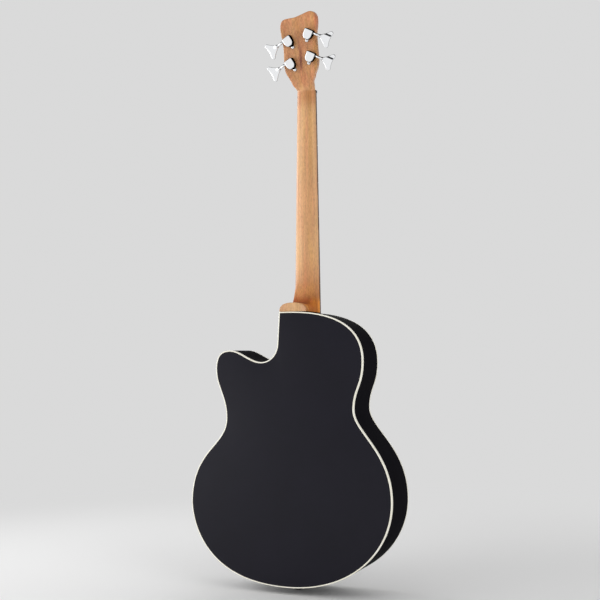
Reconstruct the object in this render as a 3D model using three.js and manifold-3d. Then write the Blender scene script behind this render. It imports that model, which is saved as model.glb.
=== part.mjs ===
import * as THREE from 'three';
import { mergeVertices } from 'three/addons/utils/BufferGeometryUtils.js';
import Module from 'manifold-3d';

// Acoustic bass guitar, upright: +Z runs up the neck, the soundboard faces -Y and +X is the cutaway side.
// The origin is the middle of the end pin's outer face. All lengths are in millimetres.

const wasm = await Module();
wasm.setup();

// Scale and strings
const scaleLength = 864;
const clearFretCount = 14; // frets above the body
const fretCount = 20;
const semitone = 2 ** (1 / 12);
const lowStringRadius = 1.33;
const lowMiddleStringRadius = 1.08;
const highMiddleStringRadius = 0.83;
const highStringRadius = 0.57;
const stringRadii = [lowStringRadius, lowMiddleStringRadius, highMiddleStringRadius, highStringRadius];
const nutStringSpread = 30;
const saddleStringSpread = 57;
const stringLift = 0.4; // string above the frets at the nut
const ballRadius = 2.4;
const wrapTurns = 2.3;
const wrapSpace = 0.55; // free space between neighbouring wraps
const wrapStart = 6; // lowest wrap above the head's face
const bendReach = 2.6; // length over which a string rounds a corner

// Shared clearances and counts
const gap = 0.3; // between pieces that touch
const weldShare = 0.001; // points closer than this share of the gap are one point
const overrun = 3; // how far a cut runs past the face it opens
const roundSides = 16;
const pinSides = 12;
const shaftSides = 10;
const smallSides = 8;
const wormSides = 8;
const nutSides = 6;
const ballBands = 6;
const smallSegments = 4;
const mitreLimitShare = 0.4; // least share that a mitred corner may shrink to
const stringSides = 6;
const stepsPerLoop = 12;
const bendSteps = 3;
const arcSteps = 12;

// Body outline: half widths from the centre line and heights above the tail
const bodyLength = 560;
const boutTreble = 221.7;
const boutBass = 221.2;
const boutTrebleHeight = 165.7;
const boutBassHeight = 177.2;
const waistTreble = 144.3;
const waistBass = 139.2;
const waistTrebleHeight = 337;
const waistBassHeight = 360;
const shoulderWidth = 157.9;
const shoulderDrop = 104.3; // from the body's top
const shoulderStart = -4;
const hornWidth = 171.2;
const hornDrop = 36.8; // from the horn's tip to its widest place
const hornTipWidth = 138.7;
const hornTipRise = 24.7; // over the cutaway's floor
const cutawayFloorWidth = 66.6;
const cutawayDepth = 104.4; // from the body's top
const cutawayWallWidth = 30.2;
const cutawayWallRise = 39.1; // over the cutaway's floor
const wallTopWidth = 27.6;
// Handle lengths of the outline's curves, as shares of the width and height that each curve spans
const tailTrebleShares = [0.89, 0.2];
const boutTrebleShares = [0.62, 0.33];
const waistTrebleShares = [0.43, 0.38];
const hornShares = [0.67, 0.71];
const cutawayFloorShares = [0.32, 0.36];
const cutawayWallShares = [0.58, 0.56];
const shoulderShares = [0.51, 0.78];
const waistBassShares = [0.51, 0.43];
const boutBassShares = [0.24, 0.56];
const tailBassShares = [0.52, 0.64];

// Body thicknesses
const bodyDepthAtTail = 122;
const bodyDepthAtNeck = 94;
const backRise = 5; // dome of the back over its edge
const topThickness = 3.2;
const backThickness = 3;
const sideThickness = 2.4;
const bindingWidth = 2.4;
const bindingHeight = 6;
const liningWidth = 6;
const liningHeight = 14;

// Soundhole and rosette
const soundholeRadius = 50;
const rosetteInset = 3;
const rosetteWidth = 9;
const rosetteDepth = 1;

// Blocks and braces
const neckBlockWidth = 86;
const neckBlockHeight = 62;
const tailBlockWidth = 90;
const tailBlockHeight = 22;
const braceWidth = 8;
const braceHeight = 13;
const braceTip = 3; // height of a brace at its ends
const xBraceSlope = 40; // degrees from the centre line
const xBraceDrop = 89; // from the soundhole's middle to where the legs cross
const xBraceUp = 118;
const xBraceDown = 232;
const toneBarLength = 150;
const toneBarHeight = 84;
const toneBarSlope = 78;
const upperBraceDrop = 60; // from the neck block
const backBraceShares = [0.164, 0.379, 0.62, 0.8]; // of the body's length
const backBraceSink = 0.9; // a back brace starts this far inside the plate that cuts it

// End pin
const endPinRadius = 4.5;
const endPinLength = 14;
const endPinNeckRadius = 5.5;
const endPinFlangeRadius = 8.5;
const endPinFlange = 4;

// Bridge, saddle and pins
const bridgeWidth = 150;
const bridgeLength = 36;
const bridgeHeight = 9;
const bridgeWing = 3.5;
const bridgeBlockWidth = 92;
const bridgeSlopeWidth = 12;
const bridgeCorner = 9;
const saddleThickness = 3;
const saddleWidth = 80;
const saddleSink = 5.5;
const saddleRise = 4.2;
const saddleCrown = 0.8;
const saddleFromFront = 9;
const bendLift = 0.5; // a rounded bend lies this far inside its corner
const pinSpacing = 15; // behind the saddle
const pinHoleRadius = 4;
const pinHeadRadius = 5;
const pinHeadHeight = 4.5;
const pinTip = 4; // how far a pin reaches past the plate
const domeShare = 0.6; // flat top of a pin or screw head
const bridgePlateWidth = 120;
const bridgePlateLength = 44;
const bridgePlateThickness = 2.6;
const bridgePlateRearShare = 0.33; // of its length lies behind the pins

// Neck
const nutWidth = 41.5;
const neckWidthAtBody = 56;
const neckDepthAtNut = 15;
const neckDepthAtBody = 18;
const neckRoundShare = 0.78; // exponent of the back's curve: 0 is square, 1 an ellipse
const heelWidth = 59.5;
const heelReach = 18.7;
const heelBlendReach = 86;
const heelShift = -2.6; // the heel's end lies off centre, away from the cutaway
const heelRoundShare = 0.78;
const heelTopDepth = 13;
const heelFadeShare = 0.2; // of its depth, over which the heel's hollow fades
const neckRingShares = [0, 0.06, 0.3, 0.55, 0.8, 0.93, 1]; // of the way from the body to the nut
const heelRingShares = [0, 0.04, 0.09, 0.15, 0.23, 0.34, 0.5, 0.7, 1]; // of the heel's depth
const tenonWidth = 24;
const tenonReach = 22;
const tenonTop = 8;
const tenonDepth = 70;
const fretboardThickness = 6;
const fretboardPastLastFret = 11;
const fretWidth = 2.6;
const fretHeight = 1.2;
const fretShoulderShare = 0.33; // of a fret's height
const fretCrownShare = 0.4; // of a fret's width
const fretRoot = 1; // how far a fret sinks into the board
const fretSetIn = 0.4; // from the board's edge
const nutThickness = 5.2;
const nutRise = 1.6; // nut over the frets
const nutBreakShare = 0.95; // where on the nut a string bends

// Truss rod
const rodWidth = 6;
const rodDepth = 9.7;
const rodLowEnd = 30; // rod's end above the body
const rodShaftRadius = 2.3;
const rodShaftDepth = 7;
const rodNutRadius = 3.5;
const rodNutLength = 9;
const rodNutStart = 1.2;
const rodPocketWidth = 9.4;
const rodPocketLength = 24;
const rodPocketDepth = 11.4;
const rodCoverThickness = 2;
const rodCoverWidth = 25;
const rodCoverLength = 40;

// Head
const headTilt = 14; // degrees
const headThickness = 15;
const headLength = 165;
const headHalfWidth = 42.8;
const headBlendStart = 12;
const headBlendOver = 14; // where the neck's back has become flat
const headBlendSteps = 5;
const headRoundShare = 0.04; // where the head is flat
const headEdgeSteps = 66;
// Outline of the head: across as shares of its half width, then along as shares of its length
const headTrebleShares = [
  [0.472, 0.0], [0.547, 0.045], [0.607, 0.079], [0.685, 0.126], [0.787, 0.181], [0.902, 0.235],
  [0.965, 0.295], [0.979, 0.358], [0.94, 0.505], [0.941, 0.618], [0.993, 0.766], [1.0, 0.834],
  [0.935, 0.896], [0.783, 0.932],
];
const headCrownShares = [[0.445, 0.943], [0.187, 0.946], [-0.192, 0.971]];
const headBassShares = [
  [-0.59, 0.999], [-0.789, 0.99], [-0.936, 0.951], [-0.984, 0.888], [-0.945, 0.798], [-0.871, 0.707],
  [-0.853, 0.582], [-0.852, 0.435], [-0.834, 0.344], [-0.741, 0.264], [-0.619, 0.205], [-0.589, 0.17],
  [-0.533, 0.144], [-0.484, 0.12], [-0.46, 0.088], [-0.461, 0.045], [-0.472, 0.0],
];

// Tuners: the post's place on the head, then sizes from the post's axis and the head's back face
const postSide = 22.5;
const postSpacing = 47.5;
const trebleFirstPost = 57.8;
const bassFirstPost = 68.3;
const tunerTurn = 28; // degrees that a key points down
const postRadius = 4.6;
const postWaist = 4.2;
const postHeight = 20;
const postCap = 4.4;
const postCollar = 3;
const postSlotWidth = 3.2;
const postSlotDepth = 5.5;
const postBoreRadius = 1.7;
const postBoreDepth = 11;
const bushingFlangeRadius = 8.4;
const bushingFlange = 1.7;
const bushingSleeve = 7;
const bushingWall = 2;
const wheelTeeth = 14;
const wheelRadius = 5.6; // pitch
const wheelWidth = 4.4;
const wormRadius = 2.4; // pitch
const toothRise = 0.65;
const toothFall = 0.95;
const toothThickness = 0.95;
const toothTaper = 0.28;
const wormTurns = 3.3;
const gearHeight = 6.2; // wheel's middle above the head's back
const housingWidth = 20;
const housingHeight = 12.4;
const housingWall = 1.1;
const housingFlank = 2;
const housingBottom = 9.2;
const housingBottomWidth = 8;
const housingCurveShare = 0.6;
const tabRadius = 3.7;
const tabReach = 12.2;
const tabThickness = 1.8;
const tunerScrewRadius = 1.3;
const tunerScrewHeadRadius = 2.4;
const tunerScrewHead = 1.5;
const tunerScrewLength = 9;
const keyShaftRadius = 2.2;
const keyRoot = 28.5;
const keyReach = 47.6;
const keyRootWidth = 6;
const keyLobeSpread = 27.6;
const keyLobeRadius = 4.2;
const keyThickness = 3.2;
const keyDish = 1.6; // how far each lobe bends out of the key's plane
const keyWaistShare = 0.42;
const keyLobeShare = 0.7;
const keyEdgeShare = 0.1;
const keyLobeFrom = 135; // degrees round a lobe, from its outer side, where the key's web meets it
const keyLobeTo = 30;

// Worked-out places
const gearDistance = wheelRadius + wormRadius;
const wormLead = (2 * Math.PI * wheelRadius) / wheelTeeth;
const bodyDepth = (z) => THREE.MathUtils.lerp(bodyDepthAtTail, bodyDepthAtNeck, z / bodyLength);
const fretDistance = (n) => scaleLength * (1 - semitone ** -n);
const nutZ = bodyLength + fretDistance(clearFretCount);
const saddleZ = nutZ - scaleLength;
const pinZ = saddleZ - pinSpacing;
const headZ = nutZ + nutThickness + gap;
const fretboardEnd = nutZ - fretDistance(fretCount) - fretboardPastLastFret;
const soundholeZ = fretboardEnd - gap - rosetteWidth - rosetteInset - soundholeRadius;
const xBraceCrossing = soundholeZ - xBraceDrop;
const fretTop = fretboardThickness + fretHeight;
const saddleTop = bridgeHeight + gap + saddleRise;
const plateInset = bindingWidth + gap;
const tailDepth = bodyDepthAtTail / 2;
const headAngle = THREE.MathUtils.degToRad(headTilt);
const bushingSleeveRadius = postRadius + gap + bushingWall;

// Materials
function look(color, roughness, metalness = 0) {
  return new THREE.MeshStandardMaterial({ color, roughness, metalness });
}

const blackLacquer = look(0x1d1d21, 0.35);
const creamBinding = look(0xe6e0cf, 0.5);
const spruce = look(0xcdb27f, 0.7);
const mahogany = look(0xb57f52, 0.55);
const rosewood = look(0x3a241b, 0.6);
const bone = look(0xe8e1cc, 0.5);
const chrome = look(0xcdd0d4, 0.2, 1);
const steel = look(0x8d8f92, 0.4, 1);
const bronze = look(0xb08a55, 0.35, 1);
const blackPlastic = look(0x151517, 0.4);

// Solids from three.js geometry and back
function solidOf(geometry) {
  const bare = geometry.clone();
  bare.deleteAttribute('normal');
  bare.deleteAttribute('uv');
  const merged = mergeVertices(bare, gap * weldShare);
  const corners = merged.index.array;
  const kept = [];
  for (let i = 0; i < corners.length; i += 3) {
    const [a, b, c] = corners.slice(i, i + 3);
    if (a !== b && b !== c && c !== a) kept.push(a, b, c);
  }
  const mesh = new wasm.Mesh({
    numProp: 3,
    vertProperties: new Float32Array(merged.attributes.position.array),
    triVerts: Uint32Array.from(kept),
  });
  return new wasm.Manifold(mesh);
}

function geometryOf(solid) {
  const mesh = solid.getMesh();
  const geometry = new THREE.BufferGeometry();
  geometry.setAttribute('position', new THREE.BufferAttribute(new Float32Array(mesh.vertProperties), 3));
  geometry.setIndex(new THREE.BufferAttribute(new Uint32Array(mesh.triVerts), 1));
  return geometry;
}

function flipped(geometry) {
  const index = geometry.index ?? new THREE.BufferAttribute(
    Uint32Array.from({ length: geometry.attributes.position.count }, (unused, i) => i), 1);
  const turned = new Uint32Array(index.count);
  for (let i = 0; i < index.count; i += 3) {
    turned.set([index.getX(i), index.getX(i + 2), index.getX(i + 1)], i);
  }
  return geometry.setIndex(new THREE.BufferAttribute(turned, 1));
}

// Plate drawn across and along, between two depths
function plate(shape, yFront, yBack, curveSegments = roundSides) {
  const depth = yBack - yFront;
  const geometry = new THREE.ExtrudeGeometry(shape, { depth, bevelEnabled: false, curveSegments });
  return geometry.rotateX(Math.PI / 2).translate(0, yBack, 0);
}

function box(xLow, xHigh, yLow, yHigh, zLow, zHigh) {
  const geometry = new THREE.BoxGeometry(xHigh - xLow, yHigh - yLow, zHigh - zLow);
  return geometry.translate((xLow + xHigh) / 2, (yLow + yHigh) / 2, (zLow + zHigh) / 2);
}

// Round bar along Y between two depths
function barY(radius, yLow, yHigh, x, z, sides = roundSides) {
  return new THREE.CylinderGeometry(radius, radius, yHigh - yLow, sides).translate(x, (yLow + yHigh) / 2, z);
}

// Round bar along Z between two heights
function barZ(radius, zLow, zHigh, y, sides = roundSides) {
  const bar = new THREE.CylinderGeometry(radius, radius, zHigh - zLow, sides);
  return bar.rotateX(Math.PI / 2).translate(0, y, (zLow + zHigh) / 2);
}

// Turns an end view, drawn as [along, towards the front], so that its depth runs across
function lyingAcross(geometry) {
  return geometry.rotateY(-Math.PI / 2).rotateZ(Math.PI);
}

// Lathe profile of [radius, height] turned about Y
function turnedY(profile, sides = roundSides) {
  return new THREE.LatheGeometry(profile.map(([r, y]) => new THREE.Vector2(r, y)), sides);
}

// Joins rings of equal length into one closed skin; the ring order runs away from the first ring's face
function skin(rings) {
  const count = rings[0].length;
  const points = rings.flat();
  const faces = [];
  for (let r = 0; r + 1 < rings.length; r += 1) {
    for (let i = 0; i < count; i += 1) {
      const a = r * count + i;
      const b = r * count + ((i + 1) % count);
      faces.push(a, b, b + count, a, b + count, a + count);
    }
  }
  const last = (rings.length - 1) * count;
  for (let i = 1; i + 1 < count; i += 1) {
    faces.push(0, i + 1, i);
    faces.push(last, last + i, last + i + 1);
  }
  const geometry = new THREE.BufferGeometry().setFromPoints(points);
  geometry.setIndex(faces);
  return geometry;
}

// Shape whose outline is a list of [across, along] points
function polygon(points) {
  return new THREE.Shape(points.map(([x, z]) => new THREE.Vector2(x, z)));
}

const group = new THREE.Group();
const body = new THREE.Group();
body.position.set(0, -tailDepth, endPinLength);
group.add(body);

function add(parent, name, shape, material) {
  const geometry = shape.getMesh ? geometryOf(shape) : shape;
  const mesh = new THREE.Mesh(geometry, material);
  mesh.name = name;
  parent.add(mesh);
  return mesh;
}

// Body outline, seen from the front, anticlockwise from the middle of the tail
function curveBetween(from, to, shares, startsAcross, endsAcross, steps) {
  const span = to.clone().sub(from);
  const across = (share) => new THREE.Vector2(span.x * share, 0);
  const along = (share) => new THREE.Vector2(0, span.y * share);
  const first = startsAcross ? across(shares[0]) : along(shares[0]);
  const second = endsAcross ? across(shares[1]) : along(shares[1]);
  const curve = new THREE.CubicBezierCurve(from, from.clone().add(first), to.clone().sub(second), to);
  return curve.getPoints(steps).slice(0, steps);
}

function outlinePoints() {
  const at = (x, z) => new THREE.Vector2(x, z);
  const tail = at(0, 0);
  const treble = at(boutTreble, boutTrebleHeight);
  const waist = at(waistTreble, waistTrebleHeight);
  const floor = at(cutawayFloorWidth, bodyLength - cutawayDepth);
  const wall = at(cutawayWallWidth, floor.y + cutawayWallRise);
  const tip = at(hornTipWidth, floor.y + hornTipRise);
  const horn = at(hornWidth, tip.y - hornDrop);
  const shoulder = at(-shoulderStart, bodyLength);
  const upper = at(-shoulderWidth, bodyLength - shoulderDrop);
  const bassWaist = at(-waistBass, waistBassHeight);
  const bass = at(-boutBass, boutBassHeight);
  return [
    ...curveBetween(tail, treble, tailTrebleShares, true, false, 9),
    ...curveBetween(treble, waist, boutTrebleShares, false, false, 8),
    ...curveBetween(waist, horn, waistTrebleShares, false, false, 5),
    ...curveBetween(horn, tip, hornShares, false, true, 5),
    ...curveBetween(tip, floor, cutawayFloorShares, true, true, 5),
    ...curveBetween(floor, wall, cutawayWallShares, true, false, 5),
    wall, at(wallTopWidth, bodyLength),
    ...curveBetween(shoulder, upper, shoulderShares, true, false, 8),
    ...curveBetween(upper, bassWaist, waistBassShares, false, false, 5),
    ...curveBetween(bassWaist, bass, boutBassShares, false, false, 7),
    ...curveBetween(bass, tail, tailBassShares, false, true, 9),
  ];
}

// Moves each point of a closed outline inwards, square to its two edges
function inset(points, distance) {
  return points.map((point, i) => {
    const before = points[(i + points.length - 1) % points.length];
    const after = points[(i + 1) % points.length];
    const one = point.clone().sub(before).normalize();
    const two = after.clone().sub(point).normalize();
    const inward = new THREE.Vector2(-one.y - two.y, one.x + two.x).normalize();
    const mitre = Math.max(inward.dot(new THREE.Vector2(-one.y, one.x)), mitreLimitShare);
    return point.clone().addScaledVector(inward, distance / mitre);
  });
}

const outline = outlinePoints();

// Closed band that follows the outline between two insets and two depths
function band(outerInset, innerInset, front, back) {
  const outer = inset(outline, outerInset);
  const inner = inset(outline, innerInset);
  const corners = outline.map((unused, i) => [
    new THREE.Vector3(outer[i].x, front(outer[i].y), outer[i].y),
    new THREE.Vector3(inner[i].x, front(inner[i].y), inner[i].y),
    new THREE.Vector3(inner[i].x, back(inner[i].y), inner[i].y),
    new THREE.Vector3(outer[i].x, back(outer[i].y), outer[i].y),
  ]);
  const faces = [];
  for (let i = 0; i < corners.length; i += 1) {
    const here = i * 4;
    const next = ((i + 1) % corners.length) * 4;
    for (let k = 0; k < 4; k += 1) {
      const m = (k + 1) % 4;
      faces.push(here + k, next + m, here + m, here + k, next + k, next + m);
    }
  }
  const geometry = new THREE.BufferGeometry().setFromPoints(corners.flat());
  geometry.setIndex(faces);
  return geometry;
}

// Share of the way from the back's middle to its edge, for a point of the body
const backMiddle = new THREE.Vector2(0, boutBassHeight);
function backShare(x, z) {
  const ray = new THREE.Vector2(x, z).sub(backMiddle);
  const far = ray.length();
  if (far === 0) return 0;
  const edge = inset(outline, plateInset);
  for (let i = 0; i < edge.length; i += 1) {
    const a = edge[i].clone().sub(backMiddle);
    const b = edge[(i + 1) % edge.length].clone().sub(backMiddle);
    const side = b.clone().sub(a);
    const cross = ray.x * side.y - ray.y * side.x;
    const along = (a.x * side.y - a.y * side.x) / cross;
    const across = (a.x * ray.y - a.y * ray.x) / cross;
    if (along > 0 && across >= 0 && across <= 1) return Math.min(1 / along, 1);
  }
  return 1;
}
const backOuter = (x, z) => bodyDepth(z) + backRise * (1 - backShare(x, z) ** 2);

// Soundboard with its soundhole, the rosette's recess and the pins' holes
const holeFor = (radius) => new THREE.Path().absarc(0, soundholeZ, radius, 0, 2 * Math.PI, true);
const stringPlace = (spread, i) => -spread / 2 + (spread * i) / (stringRadii.length - 1);

function ringPlate(innerRadius, outerRadius, yFront, yBack) {
  const shape = new THREE.Shape().absarc(0, soundholeZ, outerRadius, 0, 2 * Math.PI, false);
  shape.holes.push(holeFor(innerRadius));
  return plate(shape, yFront, yBack);
}

function soundboard() {
  const shape = new THREE.Shape(inset(outline, plateInset));
  shape.holes.push(holeFor(soundholeRadius));
  let solid = solidOf(plate(shape, 0, topThickness));
  const ringInner = soundholeRadius + rosetteInset;
  const recess = ringPlate(ringInner, ringInner + rosetteWidth, -overrun, rosetteDepth);
  solid = solid.subtract(solidOf(recess));
  for (let i = 0; i < stringRadii.length; i += 1) {
    const x = stringPlace(saddleStringSpread, i);
    solid = solid.subtract(solidOf(barY(pinHoleRadius, -overrun, topThickness + overrun, x, pinZ)));
  }
  return solid;
}

function backPlate() {
  const edge = inset(outline, plateInset);
  const shares = [1 / 3, 2 / 3, 1];
  const points = [];
  const faces = [];
  const surfaces = [0, backThickness];
  for (const sunk of surfaces) {
    points.push(new THREE.Vector3(backMiddle.x, bodyDepth(backMiddle.y) + backRise - sunk, backMiddle.y));
    for (const share of shares) {
      for (const point of edge) {
        const x = backMiddle.x + (point.x - backMiddle.x) * share;
        const z = backMiddle.y + (point.y - backMiddle.y) * share;
        points.push(new THREE.Vector3(x, bodyDepth(z) + backRise * (1 - share ** 2) - sunk, z));
      }
    }
  }
  const perSurface = 1 + shares.length * edge.length;
  for (let s = 0; s < surfaces.length; s += 1) {
    const base = s * perSurface;
    const face = s === 0 ? (a, b, c) => faces.push(a, c, b) : (a, b, c) => faces.push(a, b, c);
    for (let i = 0; i < edge.length; i += 1) {
      const j = (i + 1) % edge.length;
      face(base, base + 1 + i, base + 1 + j);
      for (let r = 0; r + 1 < shares.length; r += 1) {
        const inner = base + 1 + r * edge.length;
        const outer = inner + edge.length;
        face(inner + i, outer + i, outer + j);
        face(inner + i, outer + j, inner + j);
      }
    }
  }
  const rim = 1 + (shares.length - 1) * edge.length;
  for (let i = 0; i < edge.length; i += 1) {
    const j = (i + 1) % edge.length;
    const a = rim + i;
    const b = rim + j;
    faces.push(a, b, b + perSurface, a, b + perSurface, a + perSurface);
  }
  const geometry = new THREE.BufferGeometry().setFromPoints(points);
  geometry.setIndex(faces);
  return geometry;
}

// The body's inner space between two insets, as a cutter for blocks
function innerPrism(frontInset, backGap) {
  const edge = inset(outline, frontInset);
  const back = (z) => bodyDepth(z) - backThickness - backGap;
  const front = edge.map((p) => new THREE.Vector3(p.x, topThickness + gap, p.y));
  const rear = edge.map((p) => new THREE.Vector3(p.x, back(p.y), p.y));
  const triangles = THREE.ShapeUtils.triangulateShape(edge, []);
  const faces = [];
  const count = edge.length;
  for (const [a, b, c] of triangles) {
    faces.push(a, b, c, a + count, c + count, b + count);
  }
  for (let i = 0; i < count; i += 1) {
    const j = (i + 1) % count;
    faces.push(i, i + count, j + count, i, j + count, j);
  }
  const geometry = new THREE.BufferGeometry().setFromPoints([...front, ...rear]);
  geometry.setIndex(faces);
  return geometry;
}

const farX = boutTreble + boutBass;
const wholeDepth = bodyDepthAtTail + backRise + overrun;
const bassHalf = solidOf(box(-farX, -gap / 2, -overrun, wholeDepth, -overrun, bodyLength + overrun));
const trebleHalf = solidOf(box(gap / 2, farX, -overrun, wholeDepth, -overrun, bodyLength + overrun));

function neckBlockRoom(clearance) {
  const half = neckBlockWidth / 2 + clearance;
  const low = bodyLength - neckBlockHeight - clearance;
  return box(-half, half, -overrun, wholeDepth, low, bodyLength + overrun);
}

function tailBlockRoom(clearance) {
  const half = tailBlockWidth / 2 + clearance;
  return box(-half, half, -overrun, wholeDepth, -overrun, sideThickness + tailBlockHeight + clearance);
}

const tenonRoom = (clearance) => box(
  -tenonWidth / 2 - clearance, tenonWidth / 2 + clearance,
  tenonTop - clearance, tenonTop + tenonDepth + clearance,
  bodyLength - sideThickness - tenonReach - clearance, bodyLength + heelReach / 2);

const endPinHole = barZ(endPinRadius + gap, -overrun, sideThickness + tailBlockHeight + overrun, tailDepth);

add(body, 'soundboard', soundboard(), blackLacquer);
const backSolid = solidOf(backPlate());
add(body, 'back_plate', backSolid, blackLacquer);
const rosetteInner = soundholeRadius + rosetteInset + gap;
const rosette = ringPlate(rosetteInner, rosetteInner + rosetteWidth - 2 * gap, 0, rosetteDepth - gap);
add(body, 'rosette', rosette, creamBinding);
add(body, 'top_binding', band(0, bindingWidth, () => 0, () => bindingHeight), creamBinding);
const backBinding = band(0, bindingWidth, (z) => bodyDepth(z) - bindingHeight, bodyDepth);
add(body, 'back_binding', backBinding, creamBinding);

// Sides, one each way round from the tail to the neck
const sideRing = solidOf(band(0, sideThickness,
  () => bindingHeight + gap, (z) => bodyDepth(z) - bindingHeight - gap))
  .subtract(solidOf(tenonRoom(gap))).subtract(solidOf(endPinHole));
add(body, 'side_bass', sideRing.intersect(bassHalf), blackLacquer);
add(body, 'side_treble', sideRing.intersect(trebleHalf), blackLacquer);

// Linings that carry the plates' edges, stopped short of the blocks
const blockRooms = solidOf(neckBlockRoom(gap)).add(solidOf(tailBlockRoom(gap)));
const liningEnd = plateInset + liningWidth;
const topLining = solidOf(band(plateInset, liningEnd,
  () => topThickness + gap, () => topThickness + gap + liningHeight)).subtract(blockRooms);
const backLining = solidOf(band(plateInset, liningEnd,
  (z) => bodyDepth(z) - backThickness - gap - liningHeight,
  (z) => bodyDepth(z) - backThickness - gap)).subtract(blockRooms);
add(body, 'top_lining_bass', topLining.intersect(bassHalf), spruce);
add(body, 'top_lining_treble', topLining.intersect(trebleHalf), spruce);
add(body, 'back_lining_bass', backLining.intersect(bassHalf), spruce);
add(body, 'back_lining_treble', backLining.intersect(trebleHalf), spruce);

// Blocks
const inside = solidOf(innerPrism(plateInset, gap));
const neckBlock = inside.intersect(solidOf(neckBlockRoom(0))).subtract(solidOf(tenonRoom(gap)));
add(body, 'neck_block', neckBlock, mahogany);
const tailBlock = inside.intersect(solidOf(tailBlockRoom(0))).subtract(solidOf(endPinHole));
add(body, 'tail_block', tailBlock, mahogany);

// Brace between two points on a surface, tapering to its ends, with its height along Y
function brace(from, to, surface, inward, segments) {
  const along = to.clone().sub(from);
  const across = new THREE.Vector2(-along.y, along.x).normalize().multiplyScalar(braceWidth / 2);
  const rings = [];
  for (let i = 0; i <= segments; i += 1) {
    const t = i / segments;
    const middle = from.clone().addScaledVector(along, t);
    const rise = braceTip + (braceHeight - braceTip) * Math.sin(Math.PI * t) ** (1 / 2);
    const ring = [[1, 0], [-1, 0], [-1, rise], [1, rise]].map(([side, height]) => {
      const x = middle.x + across.x * side;
      const z = middle.y + across.y * side;
      return new THREE.Vector3(x, surface(x, z) + inward * (gap + height), z);
    });
    rings.push(inward > 0 ? ring : ring.reverse());
  }
  return skin(rings);
}

const topInner = () => topThickness;
const backInner = (x, z) => backOuter(x, z) - backThickness + backBraceSink;
const clearOfLining = inset(outline, liningEnd + gap);

// Half width of the room inside the linings at a height, on one side
function roomAt(z, side) {
  let least = farX;
  for (let i = 0; i < clearOfLining.length; i += 1) {
    const a = clearOfLining[i];
    const b = clearOfLining[(i + 1) % clearOfLining.length];
    if ((a.y - z) * (b.y - z) <= 0 && a.y !== b.y) {
      const x = a.x + ((b.x - a.x) * (z - a.y)) / (b.y - a.y);
      if (x * side > 0) least = Math.min(least, x * side);
    }
  }
  return least;
}

function crossBrace(z, surface, inward, segments) {
  const reach = (side) => Math.min(roomAt(z - braceWidth / 2, side), roomAt(z + braceWidth / 2, side));
  const from = new THREE.Vector2(-reach(-1), z);
  const to = new THREE.Vector2(reach(1), z);
  return brace(from, to, surface, inward, segments);
}

function legOfX(side, grow) {
  const slope = THREE.MathUtils.degToRad(xBraceSlope);
  const way = new THREE.Vector2(Math.sin(slope) * side, Math.cos(slope));
  const middle = new THREE.Vector2(0, xBraceCrossing);
  const low = middle.clone().addScaledVector(way, -xBraceDown);
  const high = middle.clone().addScaledVector(way, xBraceUp);
  return solidOf(brace(low, high, topInner, 1, 8)).subtract(lapOfX(-side, grow));
}

// The half-lap where the two legs cross
function lapOfX(side, frontHalf) {
  const slope = THREE.MathUtils.degToRad(xBraceSlope);
  const lap = (braceHeight + gap) / 2;
  const half = braceWidth / 2 + gap;
  const cut = box(-half, half, 0, lap + overrun, -2 * braceWidth, 2 * braceWidth);
  cut.translate(0, frontHalf ? topThickness + gap - overrun : topThickness + lap, 0);
  return solidOf(cut.rotateY(slope * side).translate(0, 0, xBraceCrossing));
}

add(body, 'x_brace_bass', legOfX(-1, false), spruce);
add(body, 'x_brace_treble', legOfX(1, true), spruce);
const upperBraceZ = bodyLength - neckBlockHeight - upperBraceDrop;
add(body, 'upper_transverse_brace', crossBrace(upperBraceZ, topInner, 1, 6), spruce);
const toneBarWay = THREE.MathUtils.degToRad(toneBarSlope);
const toneBarHalf = new THREE.Vector2(Math.sin(toneBarWay), Math.cos(toneBarWay));
toneBarHalf.multiplyScalar(toneBarLength / 2);
const toneBarMiddle = new THREE.Vector2(0, toneBarHeight);
add(body, 'tone_bar', brace(toneBarMiddle.clone().sub(toneBarHalf), toneBarMiddle.clone().add(toneBarHalf),
  topInner, 1, 6), spruce);
backBraceShares.forEach((share, i) => {
  const whole = solidOf(crossBrace(share * bodyLength, backInner, -1, 8));
  add(body, `back_brace_${i + 1}`, whole.subtract(backSolid.translate(0, -gap, 0)), spruce);
});

let bridgePlate = solidOf(box(-bridgePlateWidth / 2, bridgePlateWidth / 2,
  topThickness + gap, topThickness + gap + bridgePlateThickness,
  pinZ - bridgePlateLength * bridgePlateRearShare, pinZ + bridgePlateLength * (1 - bridgePlateRearShare)));

// End pin in the tail block
const endPinProfile = [
  [0, -endPinLength], [endPinFlangeRadius, -endPinLength], [endPinFlangeRadius, endPinFlange - endPinLength],
  [endPinNeckRadius, endPinFlange - endPinLength + endPinRadius / 2], [endPinNeckRadius + gap, -gap],
  [endPinRadius, -gap], [endPinRadius, sideThickness + tailBlockHeight], [0, sideThickness + tailBlockHeight],
];
const endPin = turnedY(endPinProfile).rotateX(Math.PI / 2).translate(0, tailDepth, 0);
add(body, 'end_pin', endPin, blackPlastic);

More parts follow.
